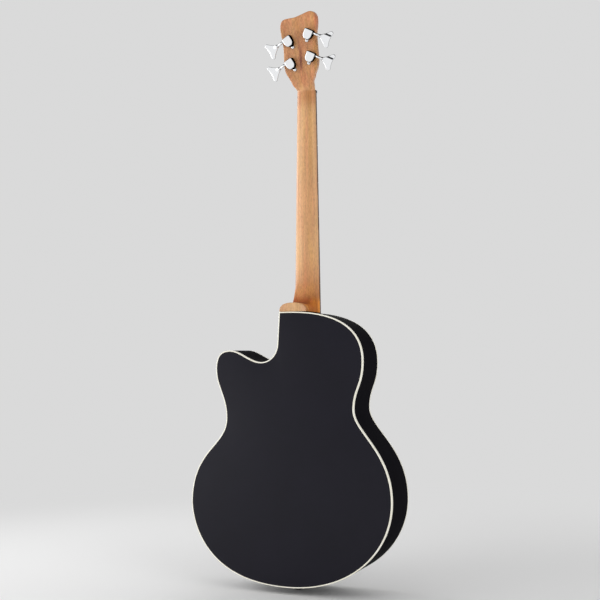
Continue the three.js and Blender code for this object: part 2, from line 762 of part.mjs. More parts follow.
// Bridge: a block with thin wings, drawn as a front view cut by its plan
function bridge() {
  const half = bridgeWidth / 2;
  const blockHalf = bridgeBlockWidth / 2;
  const slopeEnd = blockHalf + bridgeSlopeWidth;
  const profile = new THREE.Shape([
    [-half, 0], [half, 0], [half, bridgeWing], [slopeEnd, bridgeWing], [blockHalf, bridgeHeight],
    [-blockHalf, bridgeHeight], [-slopeEnd, bridgeWing], [-half, bridgeWing],
  ].map(([x, y]) => new THREE.Vector2(x, -y - gap)).reverse());
  const front = saddleZ + saddleFromFront;
  const rear = front - bridgeLength;
  const profileGeometry = new THREE.ExtrudeGeometry(profile, { depth: bridgeLength, bevelEnabled: false });
  const planCorners = [[half, rear], [half, front], [-half, front], [-half, rear]];
  const plan = new THREE.Shape();
  const starts = [
    [half - bridgeCorner, rear], [half, front - bridgeCorner],
    [bridgeCorner - half, front], [-half, rear + bridgeCorner],
  ];
  const ends = [
    [half, rear + bridgeCorner], [half - bridgeCorner, front],
    [-half, front - bridgeCorner], [bridgeCorner - half, rear],
  ];
  plan.moveTo(...ends[ends.length - 1]);
  planCorners.forEach((corner, i) => {
    plan.lineTo(...starts[i]);
    plan.quadraticCurveTo(...corner, ...ends[i]);
  });
  const planSolid = solidOf(plate(plan, -bridgeHeight - overrun, 0, smallSegments));
  let solid = solidOf(profileGeometry.translate(0, 0, rear)).intersect(planSolid);
  const slotHalf = saddleThickness / 2 + gap;
  const slotSide = saddleWidth / 2 + gap;
  const slotFloor = saddleSink + gap;
  solid = solid.subtract(solidOf(box(-slotSide, slotSide, -bridgeHeight - overrun - gap,
    slotFloor - bridgeHeight - gap, saddleZ - slotHalf, saddleZ + slotHalf)));
  return solid;
}

// Route that a string or its channel follows; the points are used as they stand
class Route extends THREE.Curve {
  constructor(points) {
    super();
    this.points = points;
  }

  getPoint(t, target = new THREE.Vector3()) {
    const place = t * (this.points.length - 1);
    const index = Math.min(Math.round(place), this.points.length - 1);
    return target.copy(this.points[index]);
  }

  getTangent(t, target = new THREE.Vector3()) {
    const index = Math.round(t * (this.points.length - 1));
    const here = this.points[index];
    const before = this.points[Math.max(index - 1, 0)];
    const after = this.points[Math.min(index + 1, this.points.length - 1)];
    const one = here.clone().sub(before).normalize();
    const two = after.clone().sub(here).normalize();
    return target.copy(one).add(two).normalize();
  }

  getUtoTmapping(u) {
    return u;
  }
}

function tube(points, radius, sides) {
  const section = new THREE.Shape();
  for (let i = 0; i < sides; i += 1) {
    const angle = (2 * Math.PI * i) / sides;
    const place = [radius * Math.cos(angle), radius * Math.sin(angle)];
    if (i === 0) section.moveTo(...place);
    else section.lineTo(...place);
  }
  return new THREE.ExtrudeGeometry(section, { steps: points.length - 1, extrudePath: new Route(points) });
}

// Rounds each inner corner of a route with a short curve
function eased(corners) {
  const points = [corners[0]];
  for (let i = 1; i + 1 < corners.length; i += 1) {
    const into = corners[i - 1].clone().sub(corners[i]);
    const out = corners[i + 1].clone().sub(corners[i]);
    const reachIn = Math.min(bendReach, into.length() / 3);
    const reachOut = Math.min(bendReach, out.length() / 3);
    const start = corners[i].clone().addScaledVector(into.normalize(), reachIn);
    const end = corners[i].clone().addScaledVector(out.normalize(), reachOut);
    points.push(...new THREE.QuadraticBezierCurve3(start, corners[i], end).getPoints(bendSteps));
  }
  points.push(corners[corners.length - 1]);
  return points;
}

// Head frame: X across, Y out of the head's back, Z towards its tip, from the middle of its front edge
const head = new THREE.Group();
head.position.set(0, 0, headZ);
head.rotation.x = -headAngle;
body.add(head);
head.updateMatrix();

// The posts that the strings go to, low string first: side and distance along the head
const posts = [
  { side: -1, along: bassFirstPost },
  { side: -1, along: bassFirstPost + postSpacing },
  { side: 1, along: trebleFirstPost + postSpacing },
  { side: 1, along: trebleFirstPost },
];

const pinStringOffset = (radius) => pinHoleRadius - gap - radius;

// Corners of a string from its ball to the saddle
function anchorCorners(i) {
  const radius = stringRadii[i];
  const x = stringPlace(saddleStringSpread, i);
  const z = pinZ + pinStringOffset(radius);
  const ballY = topThickness + gap + bridgePlateThickness + gap + ballRadius;
  const underHead = radius + gap - bridgeHeight - gap;
  const overSaddle = -saddleTop - gap - radius - bendLift;
  const headEdge = pinZ + pinHeadRadius + gap;
  const slope = (overSaddle - underHead) / (saddleZ - headEdge);
  const bendY = underHead + slope * (z - headEdge);
  return [
    new THREE.Vector3(x, ballY, z),
    new THREE.Vector3(x, bendY, z),
    new THREE.Vector3(x, overSaddle, saddleZ),
  ];
}

function stringRoute(i) {
  const radius = stringRadii[i];
  const post = posts[i];
  const nutX = stringPlace(nutStringSpread, i);
  const nutY = -fretTop - stringLift - radius;
  const nutPoint = new THREE.Vector3(nutX, nutY, nutZ + nutThickness * nutBreakShare);
  const toHead = head.matrix.clone().invert();
  const start = nutPoint.clone().applyMatrix4(toHead);
  const coil = postWaist + gap + radius;
  const centre = new THREE.Vector2(post.side * postSide, post.along);
  const offset = new THREE.Vector2(start.x, start.z).sub(centre);
  const away = offset.angle();
  const spread = Math.acos(coil / offset.length());
  const meet = away - post.side * spread;
  const pitch = 2 * radius + wrapSpace;
  const steps = Math.round(wrapTurns * stepsPerLoop);
  const coilPoints = [];
  for (let k = 0; k <= steps; k += 1) {
    const turn = k / stepsPerLoop;
    const angle = meet - post.side * 2 * Math.PI * turn;
    const height = wrapStart + pitch * turn;
    const across = centre.x + coil * Math.cos(angle);
    const along = centre.y + coil * Math.sin(angle);
    coilPoints.push(new THREE.Vector3(across, -height, along).applyMatrix4(head.matrix));
  }
  const route = [...eased([...anchorCorners(i), nutPoint, coilPoints[0]]), ...coilPoints.slice(1)];
  return { route, coilPoints, radius };
}

// Least gap between a winding's turns, measured on its points
function leastGap({ coilPoints, radius }) {
  let least = Infinity;
  for (let i = 0; i < coilPoints.length; i += 1) {
    for (let j = i + stepsPerLoop / 2; j < coilPoints.length; j += 1) {
      least = Math.min(least, coilPoints[i].distanceTo(coilPoints[j]) - 2 * radius);
    }
  }
  return least;
}

let bridgeSolid = bridge();
for (let i = 0; i < stringRadii.length; i += 1) {
  const x = stringPlace(saddleStringSpread, i);
  bridgeSolid = bridgeSolid.subtract(solidOf(barY(pinHoleRadius, -bridgeHeight - overrun, overrun, x, pinZ)));
  const plateHole = barY(pinHoleRadius, 0, topThickness + bridgePlateThickness + overrun, x, pinZ);
  bridgePlate = bridgePlate.subtract(solidOf(plateHole));
  const channelRadius = (stringRadii[i] + gap) / Math.cos(Math.PI / stringSides);
  const channel = tube(eased(anchorCorners(i)), channelRadius, stringSides);
  bridgeSolid = bridgeSolid.subtract(solidOf(channel));
}
add(body, 'bridge', bridgeSolid, rosewood);
add(body, 'bridge_plate', bridgePlate, mahogany);

const saddleHalf = saddleThickness / 2;
const saddleProfile = polygon([
  [-saddleHalf, bridgeHeight - saddleSink], [saddleHalf, bridgeHeight - saddleSink],
  [saddleHalf, bridgeHeight + saddleRise - saddleCrown], [0, bridgeHeight + saddleRise],
  [-saddleHalf, bridgeHeight + saddleRise - saddleCrown],
]);
const saddle = new THREE.ExtrudeGeometry(saddleProfile, { depth: saddleWidth, bevelEnabled: false });
add(body, 'saddle', lyingAcross(saddle).translate(-saddleWidth / 2, -gap, saddleZ), bone);

// Bridge pins: a shaft flattened where the string runs, under a round head
function bridgePin(i) {
  const radius = stringRadii[i];
  const x = stringPlace(saddleStringSpread, i);
  const headLow = -bridgeHeight - gap - gap;
  const tip = topThickness + bridgePlateThickness + pinTip;
  const shaftRadius = pinHoleRadius - gap;
  const profile = [
    [0, tip], [shaftRadius / 2, tip], [shaftRadius, tip - shaftRadius / 2], [shaftRadius, headLow],
    [pinHeadRadius, headLow], [pinHeadRadius, headLow - pinHeadHeight / 2],
    [pinHeadRadius * domeShare, headLow - pinHeadHeight], [0, headLow - pinHeadHeight],
  ];
  const pin = solidOf(flipped(turnedY(profile, pinSides)).translate(x, 0, pinZ));
  const flat = pinZ + pinStringOffset(radius) - Math.max(radius, ballRadius) - gap;
  const shaftFlat = box(x - pinHeadRadius - gap, x + pinHeadRadius + gap, headLow, tip + overrun,
    Math.min(flat, pinZ), pinZ + pinHeadRadius + gap);
  return pin.subtract(solidOf(shaftFlat));
}

for (let i = 0; i < stringRadii.length; i += 1) {
  add(body, `bridge_pin_${i + 1}`, bridgePin(i), blackPlastic);
}

// Strings: a ball, a run to the nut and the wraps on its post, in one piece
for (let i = 0; i < stringRadii.length; i += 1) {
  const made = stringRoute(i);
  const ball = new THREE.SphereGeometry(ballRadius, smallSides, ballBands).translate(...made.route[0]);
  const whole = solidOf(ball).add(solidOf(tube(made.route, made.radius, stringSides)));
  add(body, `string_${i + 1}`, whole, bronze);
  console.log(`string_${i + 1}: least gap to itself ${leastGap(made).toFixed(2)} mm`);
}

// Neck shaft and the blend into the head
const neckShare = (z) => (nutZ - z) / (nutZ - bodyLength);
const neckHalfAt = (z) => THREE.MathUtils.lerp(nutWidth, neckWidthAtBody, neckShare(z)) / 2;
const neckDepthAt = (z) => THREE.MathUtils.lerp(neckDepthAtNut, neckDepthAtBody, neckShare(z));

// Half-round section: its flat faces the front, at a place and tilt
function section(z, front, tilt, trebleHalfWidth, bassHalfWidth, depth, roundShare) {
  const ring = [];
  for (let k = 0; k <= arcSteps; k += 1) {
    const angle = (Math.PI * k) / arcSteps;
    const c = Math.cos(angle);
    const half = c > 0 ? trebleHalfWidth : bassHalfWidth;
    const x = half * Math.sign(c) * Math.abs(c) ** roundShare;
    const out = depth * Math.sin(angle) ** roundShare;
    ring.push(new THREE.Vector3(x, front + out * Math.cos(tilt), z - out * Math.sin(tilt)));
  }
  return ring;
}

// Closed curve through the head's outline points
const headPoint = ([across, along]) => new THREE.Vector2(across * headHalfWidth, along * headLength);
const headShares = [...headTrebleShares, ...headCrownShares, ...headBassShares];
const headCurve = new THREE.SplineCurve(headShares.map(headPoint));
const headEdge = headCurve.getPoints(headEdgeSteps);

// Half width of the head at a distance along it, on one side
function headHalfAt(along, side) {
  const edge = headEdge.filter((p) => p.x * side > 0);
  for (let i = 0; i + 1 < edge.length; i += 1) {
    const a = edge[i];
    const b = edge[i + 1];
    if ((a.y - along) * (b.y - along) <= 0 && a.y !== b.y) {
      return Math.abs(a.x + ((b.x - a.x) * (along - a.y)) / (b.y - a.y));
    }
  }
  const lowest = edge.reduce((low, point) => (point.y < low.y ? point : low));
  return Math.abs(lowest.x);
}

function neckShaft() {
  const rings = [];
  const heights = neckRingShares.map((t) => THREE.MathUtils.lerp(bodyLength + gap, nutZ, t));
  for (const z of heights) {
    rings.push(section(z, 0, 0, neckHalfAt(z), neckHalfAt(z), neckDepthAt(z), neckRoundShare));
  }
  const bend = headAngle / 2;
  const half = headHalfAt(0, 1);
  rings.push(section(headZ, 0, bend, half, half, headThickness / Math.cos(bend), neckRoundShare));
  for (let k = 1; k <= headBlendSteps; k += 1) {
    const share = k / headBlendSteps;
    const along = headBlendOver * share;
    const roundShare = neckRoundShare * (1 - share) + headRoundShare;
    rings.push(section(headZ + along * Math.cos(headAngle), along * Math.sin(headAngle), headAngle,
      headHalfAt(along, 1), headHalfAt(along, -1), headThickness, roundShare));
  }
  return skin(rings);
}

function heel() {
  const rings = [];
  const cap = bodyDepth(bodyLength);
  const depths = [gap, ...heelRingShares.map((t) => THREE.MathUtils.lerp(heelTopDepth, cap, t))];
  for (const y of depths) {
    const t = Math.max((y - heelTopDepth) / (cap - heelTopDepth), 0);
    const half = THREE.MathUtils.lerp(neckWidthAtBody / 2 - gap, heelWidth / 2, t);
    const reach = heelReach + (heelBlendReach - heelReach) * (1 - t) ** (1 / heelFadeShare);
    const middle = heelShift * t;
    const roundShare = THREE.MathUtils.lerp(neckRoundShare, heelRoundShare, t);
    const ring = [];
    for (let k = 0; k <= arcSteps; k += 1) {
      const angle = (Math.PI * k) / arcSteps;
      const c = Math.cos(angle);
      const x = middle + half * Math.sign(c) * Math.abs(c) ** roundShare;
      ring.push(new THREE.Vector3(x, y, bodyLength + gap + reach * Math.sin(angle) ** roundShare));
    }
    rings.push(ring.reverse());
  }
  return skin(rings);
}

function headSlab() {
  const low = headBlendStart;
  const kept = headEdge.filter((p) => p.y > low);
  const shape = new THREE.Shape([
    new THREE.Vector2(headHalfAt(low, 1), low), ...kept, new THREE.Vector2(-headHalfAt(low, -1), low),
  ]);
  return plate(shape, 0, headThickness).rotateX(-headAngle).translate(0, 0, headZ);
}

// Things made in the head frame and moved into the body's
const fromHead = (geometry) => geometry.applyMatrix4(head.matrix);

// Tuner frame: X along the key's shaft, Y out of the head's back, Z towards the tip, from the post's axis
function tunerMatrix(post) {
  const turn = THREE.MathUtils.degToRad(tunerTurn) * post.side;
  return new THREE.Matrix4().makeRotationY(turn).setPosition(post.side * postSide, headThickness, post.along);
}

function neck() {
  let solid = solidOf(neckShaft()).add(solidOf(heel())).add(solidOf(headSlab()));
  solid = solid.add(solidOf(tenonRoom(0)));
  const channelHalf = rodWidth / 2 + gap;
  solid = solid.subtract(solidOf(box(-channelHalf, channelHalf, -overrun, rodDepth + 2 * gap,
    bodyLength + rodLowEnd - gap, headZ + overrun)));
  const pocketHalf = rodPocketWidth / 2;
  solid = solid.subtract(solidOf(box(-pocketHalf, pocketHalf, -overrun, rodPocketDepth,
    headZ + gap, headZ + rodPocketLength)));
  for (const post of posts) {
    const place = tunerMatrix(post);
    const bore = barY(bushingSleeveRadius + gap, -headThickness - overrun, overrun, 0, 0);
    const screwHole = barY(tunerScrewRadius + gap, -tunerScrewLength, overrun, 0, -tabReach, smallSides);
    solid = solid.subtract(solidOf(fromHead(bore.applyMatrix4(place))));
    solid = solid.subtract(solidOf(fromHead(screwHole.applyMatrix4(place))));
  }
  return solid;
}

add(body, 'neck', neck(), mahogany);

// Fretboard with its frets
function fretboard() {
  const halfAt = neckHalfAt;
  const boardShape = polygon([
    [-halfAt(fretboardEnd), fretboardEnd], [halfAt(fretboardEnd), fretboardEnd],
    [halfAt(nutZ), nutZ - gap], [-halfAt(nutZ), nutZ - gap],
  ]);
  let solid = solidOf(plate(boardShape, -fretboardThickness - gap, -gap));
  for (let n = 1; n <= fretCount; n += 1) {
    const z = nutZ - fretDistance(n);
    const half = halfAt(z) - fretSetIn;
    const side = fretWidth / 2;
    const crown = polygon([
      [-side, -fretRoot], [side, -fretRoot], [side, fretHeight * fretShoulderShare],
      [side * fretCrownShare, fretHeight], [-side * fretCrownShare, fretHeight],
      [-side, fretHeight * fretShoulderShare],
    ]);
    const wire = new THREE.ExtrudeGeometry(crown, { depth: 2 * half, bevelEnabled: false });
    solid = solid.add(solidOf(lyingAcross(wire).translate(-half, -fretboardThickness - gap, z)));
  }
  return solid;
}

add(body, 'fretboard', fretboard(), rosewood);

// Nut with a slot for each string
let nut = solidOf(box(-nutWidth / 2, nutWidth / 2, -fretTop - nutRise, -gap, nutZ, nutZ + nutThickness));
for (let i = 0; i < stringRadii.length; i += 1) {
  const x = stringPlace(nutStringSpread, i);
  const half = stringRadii[i] + 2 * gap;
  const slotFloor = gap - fretTop - stringLift;
  nut = nut.subtract(solidOf(box(x - half, x + half, -fretTop - nutRise - overrun, slotFloor,
    nutZ - overrun, nutZ + nutThickness + overrun)));
}
add(body, 'nut', nut, blackPlastic);

// Truss rod, its adjusting nut and the cover over them
const rodTop = nutZ - gap;
const rodHalf = rodWidth / 2;
const rodBar = solidOf(box(-rodHalf, rodHalf, gap, rodDepth + gap, bodyLength + rodLowEnd, rodTop));
const rodEnd = headZ + rodPocketLength / 2;
const rodShaft = barZ(rodShaftRadius, rodTop - overrun, rodEnd, rodShaftDepth);
add(body, 'truss_rod', rodBar.add(solidOf(rodShaft)), steel);

const rodNutLow = headZ + rodNutStart;
const rodNutHigh = rodNutLow + rodNutLength;
const rodNutBore = barZ(rodShaftRadius + gap, rodNutLow - overrun, rodNutHigh + overrun, rodShaftDepth);
const rodNutBar = barZ(rodNutRadius, rodNutLow, rodNutHigh, rodShaftDepth, nutSides);
const rodNut = solidOf(rodNutBar).subtract(solidOf(rodNutBore));
add(body, 'truss_rod_nut', rodNut, steel);

const coverHalf = rodCoverWidth / 2;
const cover = new THREE.Shape();
cover.moveTo(-coverHalf, gap);
cover.lineTo(coverHalf, gap);
cover.quadraticCurveTo(coverHalf, rodCoverLength / 2, 0, rodCoverLength);
cover.quadraticCurveTo(-coverHalf, rodCoverLength / 2, -coverHalf, gap);
add(head, 'truss_rod_cover', plate(cover, -rodCoverThickness - gap, -gap), blackPlastic);

// Tuners
function mirrored(geometry, side) {
  return side > 0 ? geometry : flipped(geometry.scale(-1, 1, 1));
}

const housingTopEdge = gearDistance + wormRadius + toothRise + gap + housingWall;

function housingOutline(wall) {
  const half = housingWidth / 2 - wall;
  const top = housingTopEdge - wall;
  const bottom = wall - housingBottom;
  const bottomHalf = housingBottomWidth / 2;
  const shape = new THREE.Shape();
  shape.moveTo(-half, top);
  shape.lineTo(-half, housingFlank);
  shape.quadraticCurveTo(-half, bottom * housingCurveShare, -bottomHalf, bottom);
  shape.lineTo(bottomHalf, bottom);
  shape.quadraticCurveTo(half, bottom * housingCurveShare, half, housingFlank);
  shape.lineTo(half, top);
  return shape;
}

function housing() {
  let solid = solidOf(plate(housingOutline(0), gap, housingHeight, smallSegments));
  const room = plate(housingOutline(housingWall), gap - overrun, housingHeight - housingWall, smallSegments);
  solid = solid.subtract(solidOf(room));
  const tab = new THREE.Shape();
  tab.moveTo(-tabRadius, housingWall / 2 - housingBottom);
  tab.lineTo(-tabRadius, -tabReach);
  tab.absarc(0, -tabReach, tabRadius, Math.PI, 2 * Math.PI, false);
  tab.lineTo(tabRadius, housingWall / 2 - housingBottom);
  solid = solid.add(solidOf(plate(tab, gap, tabThickness + gap, smallSegments)));
  const screwHole = barY(tunerScrewRadius + gap, -overrun, housingHeight, 0, -tabReach, smallSides);
  solid = solid.subtract(solidOf(screwHole));
  const shaftRoom = keyShaftRadius + gap;
  const shaftHole = new THREE.CylinderGeometry(shaftRoom, shaftRoom, housingWidth, pinSides)
    .rotateZ(Math.PI / 2).translate(housingWidth / 2 + housingWall, gearHeight, gearDistance);
  return solid.subtract(solidOf(shaftHole));
}

// Half thicknesses of a tooth at its foot and crown
const toothFoot = toothThickness / 2 + toothTaper;
const toothCrown = toothThickness / 2 - toothTaper;

// Worm thread as one ridge wound on the shaft's inner end
function wormThread() {
  const rings = [];
  const total = Math.round(wormTurns * wormSides);
  const foot = wormRadius - toothFall - gap;
  const crown = wormRadius + toothRise;
  for (let k = 0; k <= total; k += 1) {
    const turn = k / wormSides - wormTurns / 2;
    const angle = 2 * Math.PI * turn;
    const x = wormLead * turn;
    const ring = [[foot, -toothFoot], [foot, toothFoot], [crown, toothCrown], [crown, -toothCrown]];
    const s = Math.sin(angle);
    const c = Math.cos(angle);
    rings.push(ring.map(([r, shift]) => new THREE.Vector3(x + shift, r * s, -r * c)));
  }
  return skin(rings);
}

function key() {
  const foot = wormRadius - toothFall;
  const innerEnd = -housingWidth / 2 + housingWall + gap;
  const shoulderIn = housingWidth / 2 - housingWall - gap;
  const profile = [
    [0, innerEnd], [foot, innerEnd], [foot, shoulderIn - overrun / 2], [keyShaftRadius, shoulderIn],
    [keyShaftRadius, keyRoot + overrun], [0, keyRoot + overrun],
  ];
  const shaft = solidOf(turnedY(profile, shaftSides).rotateZ(-Math.PI / 2));
  const lobeZ = keyLobeSpread / 2;
  const shape = new THREE.Shape();
  const rootHalf = keyRootWidth / 2;
  const webTurn = THREE.MathUtils.degToRad(keyLobeFrom);
  const edgeTurn = THREE.MathUtils.degToRad(keyLobeTo);
  shape.moveTo(keyRoot, -rootHalf);
  const waistX = keyRoot + (keyReach - keyRoot) * keyWaistShare;
  shape.quadraticCurveTo(waistX, -rootHalf - keyLobeRadius,
    keyReach - keyLobeRadius * keyLobeShare, -lobeZ - keyLobeRadius * keyLobeShare);
  shape.absarc(keyReach, -lobeZ, keyLobeRadius, -webTurn, edgeTurn, false);
  shape.quadraticCurveTo(keyReach + keyLobeRadius * keyEdgeShare, 0,
    keyReach + keyLobeRadius * Math.cos(edgeTurn), lobeZ - keyLobeRadius * Math.sin(edgeTurn));
  shape.absarc(keyReach, lobeZ, keyLobeRadius, -edgeTurn, webTurn, false);
  shape.quadraticCurveTo(waistX, rootHalf + keyLobeRadius, keyRoot, rootHalf);
  const button = plate(shape, -keyThickness / 2, keyThickness / 2, smallSegments);
  const places = button.attributes.position;
  for (let i = 0; i < places.count; i += 1) {
    const share = places.getZ(i) / lobeZ;
    places.setY(i, places.getY(i) + keyDish * share * Math.abs(share));
  }
  const solid = shaft.add(solidOf(wormThread())).add(solidOf(button));
  return geometryOf(solid);
}

function post() {
  const wheelLow = gearHeight - wheelWidth / 2;
  const wheelHigh = gearHeight + wheelWidth / 2;
  const front = -headThickness;
  const top = front - postHeight;
  const hub = wheelRadius - toothFall - toothTaper;
  const profile = [
    [0, top], [postRadius, top], [postRadius, top + postCap],
    [postWaist, top + postCap + postRadius - postWaist],
    [postWaist, front - postCollar - postRadius + postWaist], [postRadius, front - postCollar],
    [postRadius, 0], [hub, wheelLow], [hub, wheelHigh], [0, wheelHigh],
  ];
  let solid = solidOf(turnedY(profile, pinSides));
  const pitchAngle = (2 * Math.PI) / wheelTeeth;
  const foot = wheelRadius - toothFall;
  const crown = wheelRadius + toothRise;
  const tooth = [[foot, -toothFoot], [crown, -toothCrown], [crown, toothCrown], [foot, toothFoot]];
  const points = [];
  for (let n = 0; n < wheelTeeth; n += 1) {
    const turn = pitchAngle * (n + 1 / 2) + Math.PI / 2;
    for (const [r, t] of tooth) {
      points.push([r * Math.cos(turn) - t * Math.sin(turn), r * Math.sin(turn) + t * Math.cos(turn)]);
    }
  }
  const wheel = plate(polygon(points), wheelLow, wheelHigh);
  const lean = wormLead / (2 * Math.PI * wormRadius) / wheelRadius;
  const places = wheel.attributes.position;
  const spot = new THREE.Vector3();
  const axis = new THREE.Vector3(0, 1, 0);
  for (let i = 0; i < places.count; i += 1) {
    spot.fromBufferAttribute(places, i);
    spot.applyAxisAngle(axis, (spot.y - gearHeight) * lean);
    places.setXYZ(i, spot.x, spot.y, spot.z);
  }
  solid = solid.add(solidOf(wheel));
  const slotHalf = postSlotWidth / 2;
  solid = solid.subtract(solidOf(box(-slotHalf, slotHalf, top - overrun, top + postSlotDepth,
    -postRadius - overrun, postRadius + overrun)));
  solid = solid.subtract(solidOf(barY(postBoreRadius, top - overrun, top + postBoreDepth, 0, 0, smallSides)));
  return geometryOf(solid);
}

function bushing() {
  const inner = postRadius + gap;
  const sleeve = bushingSleeveRadius;
  const front = -headThickness - gap;
  const profile = [
    [inner, front - bushingFlange], [bushingFlangeRadius, front - bushingFlange],
    [bushingFlangeRadius, front], [sleeve, front], [sleeve, front + bushingSleeve],
    [inner, front + bushingSleeve], [inner, front - bushingFlange],
  ];
  return turnedY(profile);
}

function tunerScrew() {
  const low = tabThickness + 2 * gap;
  const profile = [
    [0, gap - tunerScrewLength], [tunerScrewRadius, 2 * gap + tunerScrewRadius - tunerScrewLength],
    [tunerScrewRadius, low], [tunerScrewHeadRadius, low],
    [tunerScrewHeadRadius * domeShare, low + tunerScrewHead], [0, low + tunerScrewHead],
  ];
  return turnedY(profile, shaftSides).translate(0, 0, -tabReach);
}

posts.forEach((spot, i) => {
  const tuner = new THREE.Group();
  tuner.applyMatrix4(tunerMatrix(spot));
  head.add(tuner);
  const piece = (shape) => mirrored(shape, spot.side);
  add(tuner, `tuner_housing_${i + 1}`, piece(geometryOf(housing())), chrome);
  add(tuner, `tuner_key_${i + 1}`, piece(key().translate(0, gearHeight, gearDistance)), chrome);
  add(tuner, `tuner_post_${i + 1}`, piece(post()), chrome);
  add(tuner, `tuner_bushing_${i + 1}`, piece(bushing()), chrome);
  add(tuner, `tuner_screw_${i + 1}`, piece(tunerScrew()), chrome);
});

export default group;
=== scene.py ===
"""Acoustic bass guitar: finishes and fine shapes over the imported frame, in metres."""
import math

import bmesh
import bpy
import numpy as np
from mathutils import Matrix, Vector


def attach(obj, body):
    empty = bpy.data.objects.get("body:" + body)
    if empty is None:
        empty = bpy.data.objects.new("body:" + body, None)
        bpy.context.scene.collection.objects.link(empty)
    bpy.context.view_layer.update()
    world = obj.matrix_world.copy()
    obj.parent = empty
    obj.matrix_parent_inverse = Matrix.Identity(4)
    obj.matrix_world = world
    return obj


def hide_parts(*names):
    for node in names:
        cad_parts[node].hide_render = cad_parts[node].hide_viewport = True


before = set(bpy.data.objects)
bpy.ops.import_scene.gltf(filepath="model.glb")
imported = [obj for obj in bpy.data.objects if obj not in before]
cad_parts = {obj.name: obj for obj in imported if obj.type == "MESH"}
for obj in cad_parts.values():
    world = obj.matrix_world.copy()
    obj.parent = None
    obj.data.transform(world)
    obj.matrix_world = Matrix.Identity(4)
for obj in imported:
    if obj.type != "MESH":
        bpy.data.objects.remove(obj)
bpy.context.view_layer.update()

# Sizes in millimetres, in the body's own place: soundboard at y = 0, tail at z = 0, neck up +Z
MM = 0.001
GAP = 0.3
FLOOR_GAP = 14.0
BODY_LENGTH = 560.0
DEPTH_TAIL, DEPTH_NECK = 122.0, 94.0
BACK_RISE, PLATE = 5.0, 3.0
BINDING_WIDTH, BINDING_HEIGHT = 2.4, 6.0
SCALE, FRETS_CLEAR, FRET_COUNT = 864.0, 14, 20


def fret_run(number):
    """Distance from the nut to a fret, by the twelfth-root rule."""
    return SCALE * (1 - 2 ** (-number / 12))


NUT_Z = BODY_LENGTH + fret_run(FRETS_CLEAR)
SADDLE_Z = NUT_Z - SCALE
PIN_Z, PIN_HOLE = SADDLE_Z - 15.0, 4.0
NUT_THICKNESS = 5.2
HEAD_Z = NUT_Z + NUT_THICKNESS + GAP
BOARD_END = NUT_Z - fret_run(FRET_COUNT) - 11.0
BOARD_FRONT, BOARD_CAMBER = -5.5, 0.8
HOLE_RADIUS, HOLE_TO_BOARD = 50.0, 12.0
HOLE_Z = BOARD_END - GAP - HOLE_TO_BOARD - HOLE_RADIUS
ROSETTE_IN, ROSETTE_OUT = 53.3, 61.7
NUT_WIDTH, NECK_WIDTH = 41.5, 56.0
NECK_DEPTH_NUT, NECK_DEPTH_BODY = 15.0, 18.0
HEEL_WIDTH, HEEL_SHIFT, HEEL_CAP_REACH, HEEL_TOP_REACH = 59.5, -2.6, 18.7, 86.0
HEAD_TILT = math.radians(14)
HEAD_THICKNESS, HEAD_LENGTH, HEAD_HALF = 15.0, 165.0, 42.8
STRING_RADII = [1.33, 1.08, 0.83, 0.57]
PINS_X = [-28.5, -9.5, 9.5, 28.5]
NUT_SLOTS_X = [-15.0, -5.0, 5.0, 15.0]
BALL_RADIUS = 2.4
POSTS = [(-1, 68.3), (-1, 115.8), (1, 105.3), (1, 57.8)]
POST_SIDE = 22.5
TUNER_TURN = math.radians(28.0)
GEAR_HEIGHT, GEAR_DISTANCE = 6.2, 8.0
WHEEL_TEETH, WHEEL_RADIUS, WORM_RADIUS, WORM_TURNS = 14, 5.6, 2.4, 3.3
WORM_LEAD = 2 * math.pi * WHEEL_RADIUS / WHEEL_TEETH
TOOTH_ROOT, TOOTH_TIP = 0.755, 0.195
TAB_Z, TAB_RADIUS = -12.2, 3.7

TO_ROW = Matrix.Translation((0, -DEPTH_TAIL / 2 * MM, FLOOR_GAP * MM)) @ Matrix.Scale(MM, 4)
TILTED = Matrix.Translation((0, 0, HEAD_Z)) @ Matrix.Rotation(-HEAD_TILT, 4, "X")
TO_HEAD = TO_ROW @ TILTED


def depth_at(z):
    return DEPTH_TAIL + (DEPTH_NECK - DEPTH_TAIL) * z / BODY_LENGTH


def mixed(a, b, t):
    return a + (b - a) * t


def bent(a, b, c, t):
    """Place at a share t of the quadratic curve from a to c that b pulls on."""
    return a * (1 - t) ** 2 + b * 2 * t * (1 - t) + c * t ** 2


def at(x, y, z):
    return Matrix.Translation((x, y, z))


class Graph:
    """A node tree with short ways to add nodes and join them."""

    def __init__(self, tree):
        self.nodes, self.links = tree.nodes, tree.links

    def give(self, socket, value):
        """Joins an output to a socket, or sets the socket to a value."""
        if hasattr(value, "is_linked"):
            self.links.new(value, socket)
        elif socket.type == "RGBA":
            socket.default_value = (*value, 1)
        else:
            socket.default_value = value

    def add(self, kind, inputs=None, **settings):
        """Adds a node with its settings, and then its inputs by name or number."""
        node = self.nodes.new(kind)
        for name, value in settings.items():
            setattr(node, name, value)
        for name, value in (inputs or {}).items():
            self.give(node.inputs[name], value)
        return node

    def reckon(self, way, *values):
        return self.add("ShaderNodeMath", dict(enumerate(values)), operation=way).outputs["Value"]


